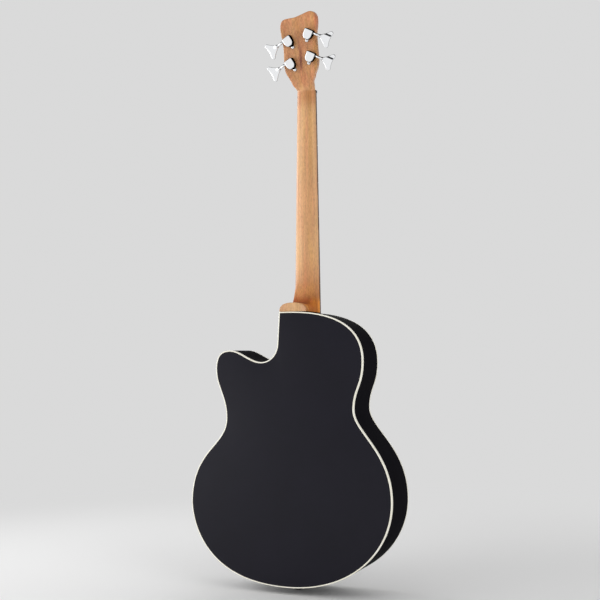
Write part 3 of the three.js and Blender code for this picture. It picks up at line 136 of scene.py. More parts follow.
# Finishes
class Finish(Graph):
    """A material with one Principled shader and short ways to add patterns in the object's own place."""

    def __init__(self, name, slot, color, roughness, metallic=0.0, specular=0.5, coat=0.0,
                 coat_roughness=0.1):
        self.made = bpy.data.materials.new(name)
        self.made.use_nodes = True
        super().__init__(self.made.node_tree)
        self.slot = slot
        self.shader = self.nodes["Principled BSDF"]
        for socket, value in (("Base Color", color), ("Roughness", roughness), ("Metallic", metallic),
                              ("Specular IOR Level", specular), ("Coat Weight", coat),
                              ("Coat Roughness", coat_roughness)):
            self.give(self.shader.inputs[socket], value)
        self.place = self.add("ShaderNodeTexCoord").outputs["Object"]
        self.normal = None

    def mapped(self, stretch, shift=(0, 0, 0)):
        inputs = {"Vector": self.place, "Scale": stretch, "Location": shift}
        return self.add("ShaderNodeMapping", inputs).outputs["Vector"]

    def noise(self, scale, detail=3.0, roughness=0.55, stretch=(1, 1, 1), shift=(0, 0, 0), distortion=0.0):
        inputs = {"Vector": self.mapped(stretch, shift), "Scale": scale, "Detail": detail,
                  "Roughness": roughness, "Distortion": distortion}
        return self.add("ShaderNodeTexNoise", inputs).outputs["Fac"]

    def cells(self, scale, stretch):
        inputs = {"Vector": self.mapped(stretch), "Scale": scale}
        return self.add("ShaderNodeTexVoronoi", inputs).outputs["Distance"]

    def ramp(self, value, *stops, smooth=False):
        node = self.add("ShaderNodeValToRGB", {"Fac": value})
        node.color_ramp.interpolation = "EASE" if smooth else "LINEAR"
        keys = node.color_ramp.elements
        while len(keys) < len(stops):
            keys.new(0.5)
        for key, (position, color) in zip(keys, stops):
            key.position = position
            key.color = (*color, 1) if isinstance(color, tuple) else (color, color, color, 1)
        return node.outputs["Color"]

    def mix(self, share, a, b, way="MIX"):
        """Mix of two colours; a mix node keeps its colour sockets at 6 and 7, and its colour at output 2."""
        return self.add("ShaderNodeMix", {0: share, 6: a, 7: b}, data_type="RGBA", blend_type=way).outputs[2]

    def tinted(self, base, tint, share=1.0):
        return self.mix(share, base, tint, "MULTIPLY")

    def both(self, *shares):
        """Product of several shares."""
        product = shares[0]
        for share in shares[1:]:
            product = self.reckon("MULTIPLY", product, share)
        return product

    def along(self, axis):
        return self.add("ShaderNodeSeparateXYZ", {"Vector": self.place}).outputs[axis]

    def zone(self, *spans):
        """Product of smooth shares, each from 0 at its start to 1 at its end along an axis, in metres."""
        shares = []
        for axis, start, end in spans:
            inputs = {"Value": self.along(axis), "From Min": start, "From Max": end}
            share = self.add("ShaderNodeMapRange", inputs, interpolation_type="SMOOTHSTEP")
            shares.append(share.outputs["Result"])
        return self.both(*shares)

    def attribute(self, name):
        return self.add("ShaderNodeAttribute", attribute_name=name).outputs["Fac"]

    def paint(self, color):
        self.give(self.shader.inputs["Base Color"], color)

    def shine(self, value):
        self.give(self.shader.inputs["Roughness"], value)

    def bump(self, value, strength, distance):
        """Adds a bump on top of the bumps given before."""
        inputs = {"Strength": strength, "Distance": distance, "Height": value}
        if self.normal:
            inputs["Normal"] = self.normal
        self.normal = self.add("ShaderNodeBump", inputs).outputs["Normal"]
        self.give(self.shader.inputs["Normal"], self.normal)


def neck_wood():
    """Mahogany with its figure along Z and stripes on the head, with redder painted shade at the heel and
    below the nut, and painted light and shade beside the heel's cap.
    """
    wood = Finish("neck_wood", "mahogany", (0.6, 0.32, 0.15), 0.42, specular=0.3, coat=0.35,
                  coat_roughness=0.2)
    broad = wood.noise(55, 4, 0.6, (1, 1, 0.05), distortion=0.6)
    base = wood.ramp(broad, (0.25, (0.53, 0.27, 0.118)), (0.5, (0.7, 0.385, 0.178)),
                     (0.75, (0.84, 0.49, 0.248)))
    fine = wood.noise(420, 3, 0.6, (1, 1, 0.02))
    base = wood.tinted(base, wood.ramp(fine, (0.3, 0.78), (0.62, 1.06)), 0.55)
    ribbon = wood.noise(24, 2, stretch=(1, 1, 0.4))
    base = wood.tinted(base, wood.ramp(ribbon, (0.35, 0.9), (0.65, 1.05), smooth=True), 0.6)
    flecks = wood.noise(430, 3, 0.65, (1, 1, 0.32), (0.3, 0, 0))
    base = wood.tinted(base, wood.ramp(flecks, (0.36, 0.8), (0.5, 1.0), (0.66, 1.1)), 0.75)
    hue = wood.noise(110, 2, stretch=(1, 1, 0.05), shift=(0.7, 0, 0))
    hue = wood.ramp(hue, (0.38, (1.06, 0.93, 0.95)), (0.5, (1.0, 1.0, 1.0)), (0.62, (1.0, 1.02, 0.86)))
    base = wood.tinted(base, hue, 0.75)
    pores = wood.ramp(wood.cells(900, (1, 1, 0.035)), (0.05, 1.0), (0.2, 0.0))
    scatter = wood.ramp(wood.noise(130, 2, stretch=(1, 1, 0.3)), (0.48, 0.0), (0.6, 1.0))
    pores = wood.both(pores, scatter)
    base = wood.mix(pores, base, (0.2, 0.09, 0.045))

    # Stripes along the head: a dark red streak near the middle, paler and redder ones towards the bass edge
    wander = wood.reckon("MULTIPLY_ADD", wood.noise(45, 2, stretch=(1, 1, 0.25)), 0.06, 0.47)
    across = wood.reckon("MULTIPLY_ADD", wood.along("X"), 10.0, wander)
    on_head = wood.zone(("Z", 1.045, 1.075))
    stripes = wood.ramp(across, (0.08, (0.86, 0.62, 0.6)), (0.115, (0.93, 0.72, 0.66)),
                        (0.14, (0.98, 0.93, 0.68)), (0.185, (0.97, 0.93, 0.7)),
                        (0.23, (0.96, 0.86, 0.78)), (0.4, (1.0, 0.98, 0.94)),
                        (0.47, (0.93, 0.82, 0.76)), (0.53, (0.95, 0.86, 0.8)), (0.62, (1.0, 1.0, 1.0)),
                        (0.84, (0.98, 0.92, 0.88)), smooth=True)
    base = wood.tinted(base, stripes, wood.both(on_head, 0.85))
    base = wood.tinted(base, (0.82, 0.71, 0.655), on_head)
    mottle = wood.noise(190, 3, 0.7, (1, 1, 0.35), (0.5, 0, 0))
    mottle = wood.ramp(mottle, (0.36, (0.78, 0.74, 0.72)), (0.5, (1.0, 1.0, 1.0)), (0.64, (1.14, 1.18, 1.2)))
    base = wood.tinted(base, mottle, wood.both(on_head, 0.8))
    streak = wood.ramp(across, (0.475, 0.0), (0.505, 1.0), (0.535, 1.0), (0.565, 0.0), smooth=True)
    length = wood.zone(("Z", 1.094, 1.106), ("Z", 1.165, 1.132))
    broken = wood.ramp(wood.noise(150, 2, stretch=(1, 1, 0.6)), (0.35, 0.6), (0.6, 1.0))
    base = wood.tinted(base, (0.45, 0.29, 0.32), wood.both(streak, length, broken))

    # Tints of zones: redder painted shade on the shaft towards the heel, in its hollow and below the nut;
    # beside the cap, painted light on the bass edge and painted shade on the rest; a slightly darker, cooler
    # tone on the cap
    # Painted light beside the cap: the bass edge is brightened, the rest of that zone darkened and warmed
    bass_edge = wood.zone(("X", -0.014, -0.025), ("Y", 0.02, 0.01))
    glow = wood.mix(bass_edge, (0.9, 0.68, 0.45), (1.65, 1.55, 0.8))
    for tint, *spans in (((0.82, 0.63, 0.5), ("Z", 0.72, 0.6), ("Y", 0.022, 0.004)),
                         ((0.6, 0.46, 0.4), ("Z", 0.625, 0.592), ("Y", 0.022, 0.004), ("Y", -0.058, -0.04)),
                         ((0.78, 0.64, 0.54), ("Z", 1.008, 1.042), ("Z", 1.062, 1.05)),
                         (glow, ("Z", 0.612, 0.592), ("Y", 0.031, 0.027)),
                         ((0.88, 0.9, 0.98), ("Y", 0.024, 0.031))):
        base = wood.tinted(base, tint, wood.zone(*spans))
    wood.paint(base)
    flank = wood.zone(("Z", 0.66, 0.6), ("Y", 0.0325, 0.028))
    wood.give(wood.shader.inputs["Coat Weight"], wood.ramp(flank, (0.0, 0.35), (1.0, 0.02)))
    wood.shine(wood.mix(flank, wood.ramp(fine, (0.3, 0.36), (0.7, 0.52)), (0.95, 0.95, 0.95)))
    wood.bump(pores, 0.25, -0.0002)
    wood.bump(fine, 0.12, 0.0002)
    return wood


def plain_wood(name, slot, dark, light, roughness, grain=60, spread=(1, 1, 0.05), pore=0.35):
    wood = Finish(name, slot, light, roughness, specular=0.35)
    broad = wood.noise(grain, 4, 0.6, spread, distortion=0.5)
    fine = wood.noise(grain * 9, 2, 0.6, spread)
    base = wood.ramp(broad, (0.3, dark), (0.7, light))
    base = wood.tinted(base, wood.ramp(fine, (0.3, 0.7), (0.65, 1.1)), 0.5)
    pores = wood.ramp(wood.cells(grain * 14, spread), (0.06, 1.0), (0.2, 0.0))
    wood.paint(wood.mix(wood.both(pores, pore), base, tuple(c * 0.3 for c in dark)))
    wood.shine(wood.ramp(fine, (0.3, roughness - 0.08), (0.7, roughness + 0.1)))
    wood.bump(fine, 0.2, 0.0002)
    return wood


def patterned(name, slot, color, roughness, tone=None, rub=None, relief=None, **shader):
    """A finish whose colour (tone), roughness (rub) and height (relief) each follow a noise of their own."""
    finish = Finish(name, slot, color, roughness, **shader)
    if tone:
        finish.paint(finish.ramp(finish.noise(*tone[0]), *tone[1:]))
    if rub:
        finish.shine(finish.ramp(finish.noise(*rub[0]), *rub[1:]))
    if relief:
        finish.bump(finish.noise(*relief[0]), *relief[1:])
    return finish


def lacquer(name, roughness, specular, color):
    deep, pale = (tuple(c * share for c in color) for share in (0.9, 1.1))
    return patterned(name, "black_lacquer", color, roughness, specular=specular,
                     tone=((9, 3, 0.5), (0.3, deep), (0.7, pale)),
                     rub=((65, 4, 0.6), (0.3, roughness - 0.035), (0.7, roughness + 0.045)),
                     relief=((260, 2, 0.5), 0.05, 0.0002))


def bright_metal(name, slot, color, roughness, smudge=0.06, painted_shade=None):
    """Polished or brushed metal; the last colour is painted on the faces that the wall attribute marks, as a
    painted dark reflection.
    """
    metal = patterned(name, slot, color, roughness, metallic=1.0,
                      rub=((110, 4, 0.6), (0.35, roughness - smudge), (0.7, roughness + smudge)),
                      relief=((900, 2), 0.02, 0.0001))
    # Painted dark reflection: faces that the wall attribute marks take the dark colour and a low specular
    # tint
    if painted_shade:
        metal.paint(metal.ramp(metal.attribute("wall"), (0.1, color), (0.4, painted_shade), smooth=True))
        metal.give(metal.shader.inputs["Specular Tint"], (0.08, 0.08, 0.08))
    return metal


def wound_string(winding_pitch=0.0006):
    wound = patterned("wound_string", "bronze", (0.62, 0.47, 0.28), 0.32, metallic=1.0,
                      tone=((90, 3), (0.3, (0.5, 0.36, 0.2)), (0.7, (0.7, 0.54, 0.33))))
    angle = wound.reckon("MULTIPLY", wound.attribute("along"), 2 * math.pi / winding_pitch)
    wound.bump(wound.reckon("SINE", angle), 0.35, 0.00006)
    return wound


NECK_WOOD = neck_wood()
SPRUCE = plain_wood("spruce", "spruce", (0.56, 0.4, 0.22), (0.74, 0.58, 0.36), 0.6, 90, (1, 1, 1), 0.1)
BLOCK_WOOD = plain_wood("block_mahogany", "mahogany", (0.32, 0.16, 0.08), (0.5, 0.28, 0.15), 0.6)
ROSEWOOD = plain_wood("rosewood", "rosewood", (0.045, 0.02, 0.012), (0.13, 0.06, 0.035), 0.5, 70)
BRIDGE_WOOD = plain_wood("bridge_rosewood", "rosewood", (0.045, 0.02, 0.012), (0.12, 0.055, 0.032), 0.45, 70,
                         (0.05, 1, 1))
SATIN_BLACK = lacquer("satin_black_lacquer", 0.34, 0.215, (0.0058, 0.0052, 0.011))
SIDE_BLACK = lacquer("side_black_lacquer", 0.4, 0.0004, (0.0075, 0.0071, 0.009))
BINDING = patterned("cream_binding", "cream_binding", (0.8, 0.73, 0.58), 0.32,
                    tone=((30, 3, 0.6), (0.3, (0.88, 0.84, 0.7)), (0.7, (0.96, 0.94, 0.84))),
                    rub=((300, 2), (0.3, 0.26), (0.7, 0.42)), relief=((500, 2), 0.06, 0.0001))
BONE = patterned("polished_bone", "bone", (0.82, 0.77, 0.65), 0.35,
                 tone=((260, 4, 0.6, (0.2, 1, 1)), (0.35, (0.72, 0.66, 0.52)), (0.6, (0.84, 0.8, 0.69))),
                 relief=((260, 4, 0.6, (0.2, 1, 1)), 0.08, 0.0001))
BLACK_PLASTIC = patterned("gloss_black_plastic", "black_plastic", (0.012, 0.012, 0.013), 0.22,
                          rub=((160, 3), (0.3, 0.16), (0.7, 0.32)), relief=((700, 2), 0.03, 0.0001))
CHROME_COLOR = (0.9, 0.91, 0.925)
CHROME = bright_metal("polished_chrome", "chrome", CHROME_COLOR, 0.1, 0.04)
# Chrome with painted dark reflections on the tuners' walls and key rims, and a painted shade line on the
# keys' shaft tops
CHROME_WITH_PAINTED_SHADE = bright_metal("chrome_with_painted_dark_reflections", "chrome", CHROME_COLOR, 0.08, 0.03, (0.03, 0.03, 0.032))
FRET_METAL = bright_metal("fret_nickel", "rosewood", (0.66, 0.64, 0.6), 0.2)
ROD_STEEL = bright_metal("rod_steel", "steel", (0.42, 0.42, 0.43), 0.38)
STRING_METAL = wound_string()


# Making pieces
def placed(name, data):
    """Object for a mesh, curve, lamp or camera, linked to the scene."""
    thing = bpy.data.objects.new(name, data)
    bpy.context.scene.collection.objects.link(thing)
    return thing


def shaded(mesh, creases):
    """Smooth shading, with edges sharper than an angle in degrees kept sharp."""
    mesh.shade_smooth()
    mesh.set_sharp_from_angle(angle=math.radians(creases))


def new_object(name, shell, matrix=TO_ROW, creases=40):
    """Mesh object from a shell, its points and faces in millimetres, with the faces turned out."""
    points, faces = shell
    mesh = bpy.data.meshes.new(name)
    mesh.from_pydata([matrix @ Vector(p) for p in points], [], faces)
    bm = bmesh.new()
    bm.from_mesh(mesh)
    bmesh.ops.remove_doubles(bm, verts=bm.verts, dist=2e-6)
    bmesh.ops.dissolve_degenerate(bm, edges=bm.edges, dist=1e-7)
    bmesh.ops.recalc_face_normals(bm, faces=bm.faces)
    bm.to_mesh(mesh)
    bm.free()
    shaded(mesh, creases)
    return placed(name, mesh)


def fitted(thing, finish, node=None, body="guitar"):
    """Gives a piece its finish and its body, and hides the CAD node that it stands for."""
    thing.data.materials.clear()
    thing.data.materials.append(finish.made)
    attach(thing, body)
    if node:
        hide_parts(node)
    return thing


def piece(name, shell, finish, node=None, body="guitar", matrix=TO_ROW, creases=40):
    return fitted(new_object(name, shell, matrix, creases), finish, node, body)


def joined(*shells):
    """One shell from several."""
    points, faces = [], []
    for some, sides in shells:
        base = len(points)
        points += list(some)
        faces += [tuple(base + i for i in side) for side in sides]
    return points, faces


def moved(shell, matrix):
    points, faces = shell
    return [tuple(matrix @ Vector(p)) for p in points], faces


def loft(rings, round_trip=False):
    """Skin over rings of equal length, with flat ends or joined back to its start."""
    count = len(rings[0])
    spans = len(rings) if round_trip else len(rings) - 1
    faces = []
    for r in range(spans):
        here, there = r * count, (r + 1) % len(rings) * count
        for i in range(count):
            j = (i + 1) % count
            faces.append((here + i, here + j, there + j, there + i))
    if not round_trip:
        faces.append(tuple(reversed(range(count))))
        faces.append(tuple(range(spans * count, len(rings) * count)))
    return [p for ring in rings for p in ring], faces


def turned(profile, sides=48, axis="Y"):
    """Lathe of (radius, height) pairs whose ends lie on the axis or meet."""
    count = len(profile)
    points, faces = [], []
    for k in range(sides):
        c, s = math.cos(2 * math.pi * k / sides), math.sin(2 * math.pi * k / sides)
        for r, h in profile:
            points.append({"X": (h, r * c, r * s), "Y": (r * c, h, r * s), "Z": (r * c, r * s, h)}[axis])
        a, b = k * count, (k + 1) % sides * count
        faces += [(a + i, a + i + 1, b + i + 1, b + i) for i in range(count - 1)]
    return points, faces


def corner(before, here, after, reach_in, reach_out, steps):
    """Curve that replaces a corner, from a reach before it to a reach after it."""
    start = here + (before - here).normalized() * reach_in
    end = here + (after - here).normalized() * reach_out
    return [bent(start, here, end, k / steps) for k in range(steps + 1)]


def rounded(profile, radius, steps=4):
    """Lathe profile with each inner corner rounded."""
    out = [profile[0]]
    for trio in zip(profile, profile[1:], profile[2:]):
        a, b, c = (Vector(p) for p in trio)
        reach = min(radius, (a - b).length * 0.45, (c - b).length * 0.45)
        out += [tuple(p) for p in corner(a, b, c, reach, reach, steps)] if reach > 1e-6 else [trio[1]]
    out.append(profile[-1])
    return out


def softened(points, radius, steps=5):
    """Closed outline with its corners rounded; nearly straight ones stay."""
    out = []
    for i, here in enumerate(points):
        a, b, c = Vector(points[i - 1]), Vector(here), Vector(points[(i + 1) % len(points)])
        one, two = a - b, c - b
        if one.length < 1e-6 or two.length < 1e-6:
            continue
        if one.normalized().dot(two.normalized()) < -0.9:
            out.append(tuple(b))
            continue
        reach = min(radius, one.length * 0.48, two.length * 0.48)
        out += [tuple(p) for p in corner(a, b, c, reach, reach, steps)]
    return out


def inset(points, distance, least_mitre=0.4):
    """Moves each point of a closed (x, z) outline inwards by a distance."""
    pts = np.asarray(points, float)
    one, two = pts - np.roll(pts, 1, 0), np.roll(pts, -1, 0) - pts
    one /= np.linalg.norm(one, axis=1)[:, None]
    two /= np.linalg.norm(two, axis=1)[:, None]
    first = np.stack([-one[:, 1], one[:, 0]], 1)
    way = np.stack([-one[:, 1] - two[:, 1], one[:, 0] + two[:, 0]], 1)
    way /= np.linalg.norm(way, axis=1)[:, None]
    mitre = np.maximum((way * first).sum(1), least_mitre)
    return pts + way * (distance / mitre)[:, None]


def slab(outline, low, high, radius_low, radius_high, steps=5):
    """Closed slab over an anticlockwise (x, z) outline between two depths y, its edges rounded."""
    rim = 0.15
    turns = [math.pi / 2 * k / steps for k in range(steps + 1)]
    levels = [(low, radius_low + rim)]
    levels += [(low + radius_low * (1 - math.sin(a)), radius_low * (1 - math.cos(a))) for a in turns[::-1]]
    levels += [(high - radius_high * (1 - math.sin(a)), radius_high * (1 - math.cos(a))) for a in turns]
    levels.append((high, radius_high + rim))
    rings = []
    for y, shrink in levels:
        ring = inset(outline, shrink) if shrink > 1e-9 else outline
        rings.append([(x, y, z) for x, z in ring])
    return loft(rings)


def rectangle(half, low, high):
    """Anticlockwise outline of a rectangle across the middle."""
    return [(-half, low), (half, low), (half, high), (-half, high)]


def grown_mesh(thing):
    """A thing's mesh with its modifiers applied."""
    graph = bpy.context.evaluated_depsgraph_get()
    graph.update()
    return bpy.data.meshes.new_from_object(thing.evaluated_get(graph))


def baked(thing):
    mesh = grown_mesh(thing)
    thing.modifiers.clear()
    thing.data = mesh


def dressed(name, node, finish, bevel):
    """A merged copy of a CAD node with its edges rounded."""
    thing = placed(name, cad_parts[node].data.copy())
    bm = bmesh.new()
    bm.from_mesh(thing.data)
    bmesh.ops.remove_doubles(bm, verts=bm.verts, dist=2e-6)
    bmesh.ops.dissolve_limit(bm, angle_limit=math.radians(1), verts=bm.verts, edges=bm.edges)
    bm.to_mesh(thing.data)
    bm.free()
    edge = thing.modifiers.new("round edges", "BEVEL")
    edge.width = bevel * MM
    edge.segments = 3
    edge.limit_method = "ANGLE"
    edge.angle_limit = math.radians(35)
    edge.harden_normals = True
    thing.data.shade_smooth()
    baked(thing)
    return fitted(thing, finish, node)


def cut(thing, *cutters):
    """Takes the cutters' shapes out of a thing, and the cutters out of the scene."""
    for k, cutter in enumerate(cutters):
        knife = thing.modifiers.new(f"cut {k}", "BOOLEAN")
        knife.operation = "DIFFERENCE"
        knife.solver = "EXACT"
        knife.object = cutter
    baked(thing)
    for cutter in cutters:
        bpy.data.objects.remove(cutter)
    shaded(thing.data, 40)
    return thing


# Camera, lights and floor
ROOM_TONE, GLOSS_TONE, FILL_TONE, OVERHEAD_TONE = 0.7, 0.9, 0.46, 0.03


def aim_camera():
    """The photograph's camera, fitted to the instrument's outline in it."""
    target = Vector((0.01859, -0.061, 0.60277))
    distance, focal_pixels, photo_pixels, sensor = 2.28435, 1056.396, 600, 36
    turn, rise, roll = math.radians(22.4373), math.radians(-2.9348), math.radians(-0.2704)
    back = Vector((-math.sin(turn) * math.cos(rise), math.cos(turn) * math.cos(rise), math.sin(rise)))
    right = (-back).cross(Vector((0, 0, 1))).normalized()
    up = right.cross(-back)
    level_x = math.cos(roll) * right + math.sin(roll) * up
    level_y = -math.sin(roll) * right + math.cos(roll) * up
    lens = bpy.data.cameras.new("camera")
    lens.sensor_width = sensor
    lens.lens = focal_pixels / photo_pixels * sensor
    lens.clip_start = 0.05
    camera = placed("camera", lens)
    spin = Matrix((level_x, level_y, back)).transposed()
    camera.matrix_world = Matrix.Translation(target + back * distance) @ spin.to_4x4()
    bpy.context.scene.camera = camera


def studio():
    """Pale room whose reflection darkens overhead, and soft boxes round the instrument."""
    world = bpy.data.worlds.new("pale room")
    bpy.context.scene.world = world
    world.use_nodes = True
    graph = Graph(world.node_tree)
    way = graph.add("ShaderNodeTexCoord").outputs["Generated"]
    height = graph.add("ShaderNodeSeparateXYZ", {0: way}).outputs["Z"]
    overhead = graph.add("ShaderNodeMapRange", {"Value": height, "From Min": 0.05, "From Max": 0.4,
                                                "To Min": GLOSS_TONE, "To Max": OVERHEAD_TONE})
    path = graph.add("ShaderNodeLightPath")
    strength = FILL_TONE
    for ray, tone in (("Is Camera Ray", ROOM_TONE), ("Is Transmission Ray", ROOM_TONE),
                      ("Is Glossy Ray", overhead.outputs["Result"])):
        strength = graph.add("ShaderNodeMix", {0: path.outputs[ray], 2: strength, 3: tone}).outputs[0]
    room = graph.nodes["Background"]
    graph.give(room.inputs["Color"], (1, 1, 1))
    graph.give(room.inputs["Strength"], strength)
    # As the camera sees it: soft boxes on its left, far left and beyond, and fills that don't reflect
    for name, place, aim, size, power, reflects in (
            ("left box", (2.2, 1.5, 1.0), 0.65, (2.4, 2.8), 22, True),
            ("edge box", (2.45, -0.15, 1.1), 0.75, (1.2, 2.0), 32, True),
            ("front box", (0.8, -2.6, 1.8), 0.5, (3.0, 2.6), 24, True),
            ("left fill", (1.5, 2.1, 1.3), 0.65, (2.4, 2.4), 19, False),
            ("right fill", (-2.4, 1.5, 0.9), 0.6, (1.8, 2.2), 28, False)):
        lamp = bpy.data.lights.new(name, "AREA")
        lamp.shape = "RECTANGLE"
        lamp.size, lamp.size_y = size
        lamp.energy = power
        thing = placed(name, lamp)
        thing.location = place
        thing.rotation_euler = (Vector((0, 0, aim)) - Vector(place)).to_track_quat("-Z", "Y").to_euler()
        thing.visible_glossy = reflects


def studio_floor():
    """Pale floor that turns into the room's own tone far out, and is clear from below."""
    mesh = bpy.data.meshes.new("floor")
    bm = bmesh.new()
    bmesh.ops.create_circle(bm, cap_ends=True, segments=64, radius=9)
    for v in bm.verts:
        v.co.z = -0.0005
    bm.to_mesh(mesh)
    bm.free()
    made = bpy.data.materials.new("pale floor")
    made.use_nodes = True
    graph = Graph(made.node_tree)
    shader = graph.nodes["Principled BSDF"]
    for name, value in (("Base Color", (0.8, 0.8, 0.8)), ("Roughness", 0.85), ("Specular IOR Level", 0.2)):
        graph.give(shader.inputs[name], value)
    glossy = graph.add("ShaderNodeLightPath").outputs["Is Glossy Ray"]
    seen = graph.add("ShaderNodeMapRange", {"Value": glossy, "To Min": ROOM_TONE, "To Max": GLOSS_TONE})
    glow = graph.add("ShaderNodeEmission", {"Color": (1, 1, 1), "Strength": seen.outputs["Result"]})
    place = graph.add("ShaderNodeTexCoord").outputs["Object"]
    far = graph.add("ShaderNodeVectorMath", {0: place}, operation="LENGTH").outputs["Value"]
    fade = graph.add("ShaderNodeMapRange", {"Value": far, "From Min": 0.4, "From Max": 1.7},
                     interpolation_type="SMOOTHERSTEP")
    blend = graph.add("ShaderNodeMixShader", {0: fade.outputs["Result"], 1: shader.outputs[0],
                                              2: glow.outputs[0]})
    below = graph.add("ShaderNodeNewGeometry").outputs["Backfacing"]
    clear = graph.add("ShaderNodeBsdfTransparent").outputs[0]
    surface = graph.add("ShaderNodeMixShader", {0: below, 1: blend.outputs[0], 2: clear}).outputs[0]
    graph.give(graph.nodes["Material Output"].inputs["Surface"], surface)
    mesh.materials.append(made)
    placed("floor", mesh)


aim_camera()
studio()
studio_floor()


# Body
def bezier(a, b, shares, starts_across, ends_across, steps):
    """Cubic curve whose handles lie across the body or along it, at shares of the way between its ends."""
    a, b = np.array(a, float), np.array(b, float)
    span = b - a
    first = a + (span * [shares[0], 0] if starts_across else span * [0, shares[0]])
    second = b - (span * [shares[1], 0] if ends_across else span * [0, shares[1]])
    t = (np.arange(steps) / steps)[:, None]
    return a * (1 - t) ** 3 + 3 * first * t * (1 - t) ** 2 + 3 * second * t ** 2 * (1 - t) + b * t ** 3


def body_outline():
    """Outline seen from the front, anticlockwise from the middle of the tail."""
    tail, treble, waist = (0, 0), (221.7, 165.7), (144.3, 337)
    horn, tip, floor, wall = (171.2, 443.5), (138.7, 480.3), (66.6, 455.6), (30.2, 494.7)
    heel_side, shoulder, upper = (27.6, BODY_LENGTH), (4, BODY_LENGTH), (-157.9, 455.7)
    bass_waist, bass = (-139.2, 360), (-221.2, 177.2)
    return np.concatenate([
        bezier(tail, treble, (0.89, 0.2), True, False, 26),
        bezier(treble, waist, (0.62, 0.33), False, False, 22),
        bezier(waist, horn, (0.43, 0.38), False, False, 13),
        bezier(horn, tip, (0.67, 0.71), False, True, 13),
        bezier(tip, floor, (0.32, 0.36), True, True, 16),
        bezier(floor, wall, (0.58, 0.56), True, False, 15),
        np.linspace(wall, heel_side, 6, endpoint=False),
        np.linspace(heel_side, shoulder, 4, endpoint=False),
        bezier(shoulder, upper, (0.51, 0.78), True, False, 22),
        bezier(upper, bass_waist, (0.51, 0.43), False, False, 15),
        bezier(bass_waist, bass, (0.24, 0.56), False, False, 21),
        bezier(bass, tail, (0.52, 0.64), False, True, 26),
    ])


OUTLINE = body_outline()


def bindings(corner_radius=0.9, steps=4):
    """Strips let into both edges of the body, their outer corner rounded."""
    turns = [math.pi / 2 * k / steps for k in range(steps + 1)]
    section = [(0.0, BINDING_HEIGHT)]
    section += [(corner_radius * (1 - math.cos(a)), corner_radius * (1 - math.sin(a))) for a in turns]
    section += [(BINDING_WIDTH, 0.0), (BINDING_WIDTH, BINDING_HEIGHT)]
    edges = [inset(OUTLINE, distance) for distance, _ in section]
    for end, to_depth in (("top", lambda z, height: height),
                          ("back", lambda z, height: depth_at(z) - height)):
        rings = [[(x, to_depth(z, height), z) for (x, z), (_, height) in zip(spots, section)]
                 for spots in zip(*edges)]
        piece(f"{end}_binding_strip", loft(rings, round_trip=True), BINDING, f"{end}_binding")


def sides():
    """The wall between the bindings, in two halves that meet at the tail and under the neck."""
    low = BINDING_HEIGHT + 0.02
    inner = inset(OUTLINE, BINDING_WIDTH)
    under_neck = int(np.argmin(np.abs(OUTLINE[:, 0]) + 9 * np.abs(OUTLINE[:, 1] - BODY_LENGTH)))
    for name, run in (("side_treble", [*range(under_neck + 1)]),
                      ("side_bass", [*range(under_neck, len(OUTLINE)), 0])):
        rings = [[(ox, low, oz), (ix, low, iz), (ix, depth_at(iz) - low, iz), (ox, depth_at(oz) - low, oz)]
                 for (ox, oz), (ix, iz) in zip(OUTLINE[run], inner[run])]
        piece(f"{name}_wall", loft(rings), SIDE_BLACK, name)


def back_dome(rings=15):
    """Back plate: a shallow dome that meets its edge all round, worked out as a loaded skin."""
    edge = inset(OUTLINE, BINDING_WIDTH)
    middle = np.array([0.0, 184.0])
    shares = (np.arange(1, rings + 1) / rings) ** 0.9
    plan = np.concatenate([[middle], *[middle + (edge - middle) * s for s in shares]])
    count, total = len(edge), len(plan)
    rim = total - count
    triangles, faces = [], []
    for i in range(count):
        j = (i + 1) % count
        skin = [(0, 1 + i, 1 + j)]
        skin += [(a + i, a + count + i, a + count + j, a + j) for a in range(1, rim, count)]
        triangles.append(skin[0])
        for a, b, c, d in skin[1:]:
            triangles += [(a, b, c), (a, c, d)]
        for side in skin:
            faces += [side, tuple(total + v for v in (side[0], *side[:0:-1]))]
        faces.append((rim + i, total + rim + i, total + rim + j, rim + j))
    tri = np.array(triangles)
    p = plan[tri]
    area = 0.5 * np.abs(np.cross(p[:, 1] - p[:, 0], p[:, 2] - p[:, 0]))
    stiffness, load = np.zeros((total, total)), np.zeros(total)
    for k in range(3):
        a, b, c = tri[:, k], tri[:, (k + 1) % 3], tri[:, (k + 2) % 3]
        cot = ((plan[a] - plan[c]) * (plan[b] - plan[c])).sum(1) / (2 * area) / 2
        for pair, weight in (((a, b), -cot), ((b, a), -cot), ((a, a), cot), ((b, b), cot)):
            np.add.at(stiffness, pair, weight)
        np.add.at(load, a, area / 3)
    rise = np.zeros(total)
    rise[:rim] = np.linalg.solve(stiffness[:rim, :rim], load[:rim])
    rise *= BACK_RISE / rise.max()
    outer = [(x, depth_at(z) + h, z) for (x, z), h in zip(plan, rise)]
    inner = [(x, y - PLATE, z) for x, y, z in outer]
    piece("domed_back", (outer + inner, faces), SATIN_BLACK, "back_plate")


def soundboard():
    """Front plate with its hole, drawn as strips between the hole and the edge."""
    thickness, strip = PLATE + 0.2, 14
    edge = inset(OUTLINE, BINDING_WIDTH)
    hole = np.array([0.0, HOLE_Z])
    radial = (edge - hole) / np.linalg.norm(edge - hole, axis=1)[:, None]
    spread = hole + radial * (HOLE_RADIUS + strip)
    courses = [(edge, thickness), (edge, 0.0), (spread, 0.0)]
    for wider, y in ((0.8, 0.0), (0.25, 0.2), (0.0, 0.7), (0.0, thickness)):
        courses.append((hole + radial * (HOLE_RADIUS + wider), y))
    courses.append((spread, thickness))
    rings = [[(x, y, z) for x, z in course] for course, y in courses]
    piece("front_plate", loft(rings, round_trip=True), SATIN_BLACK, "soundboard")


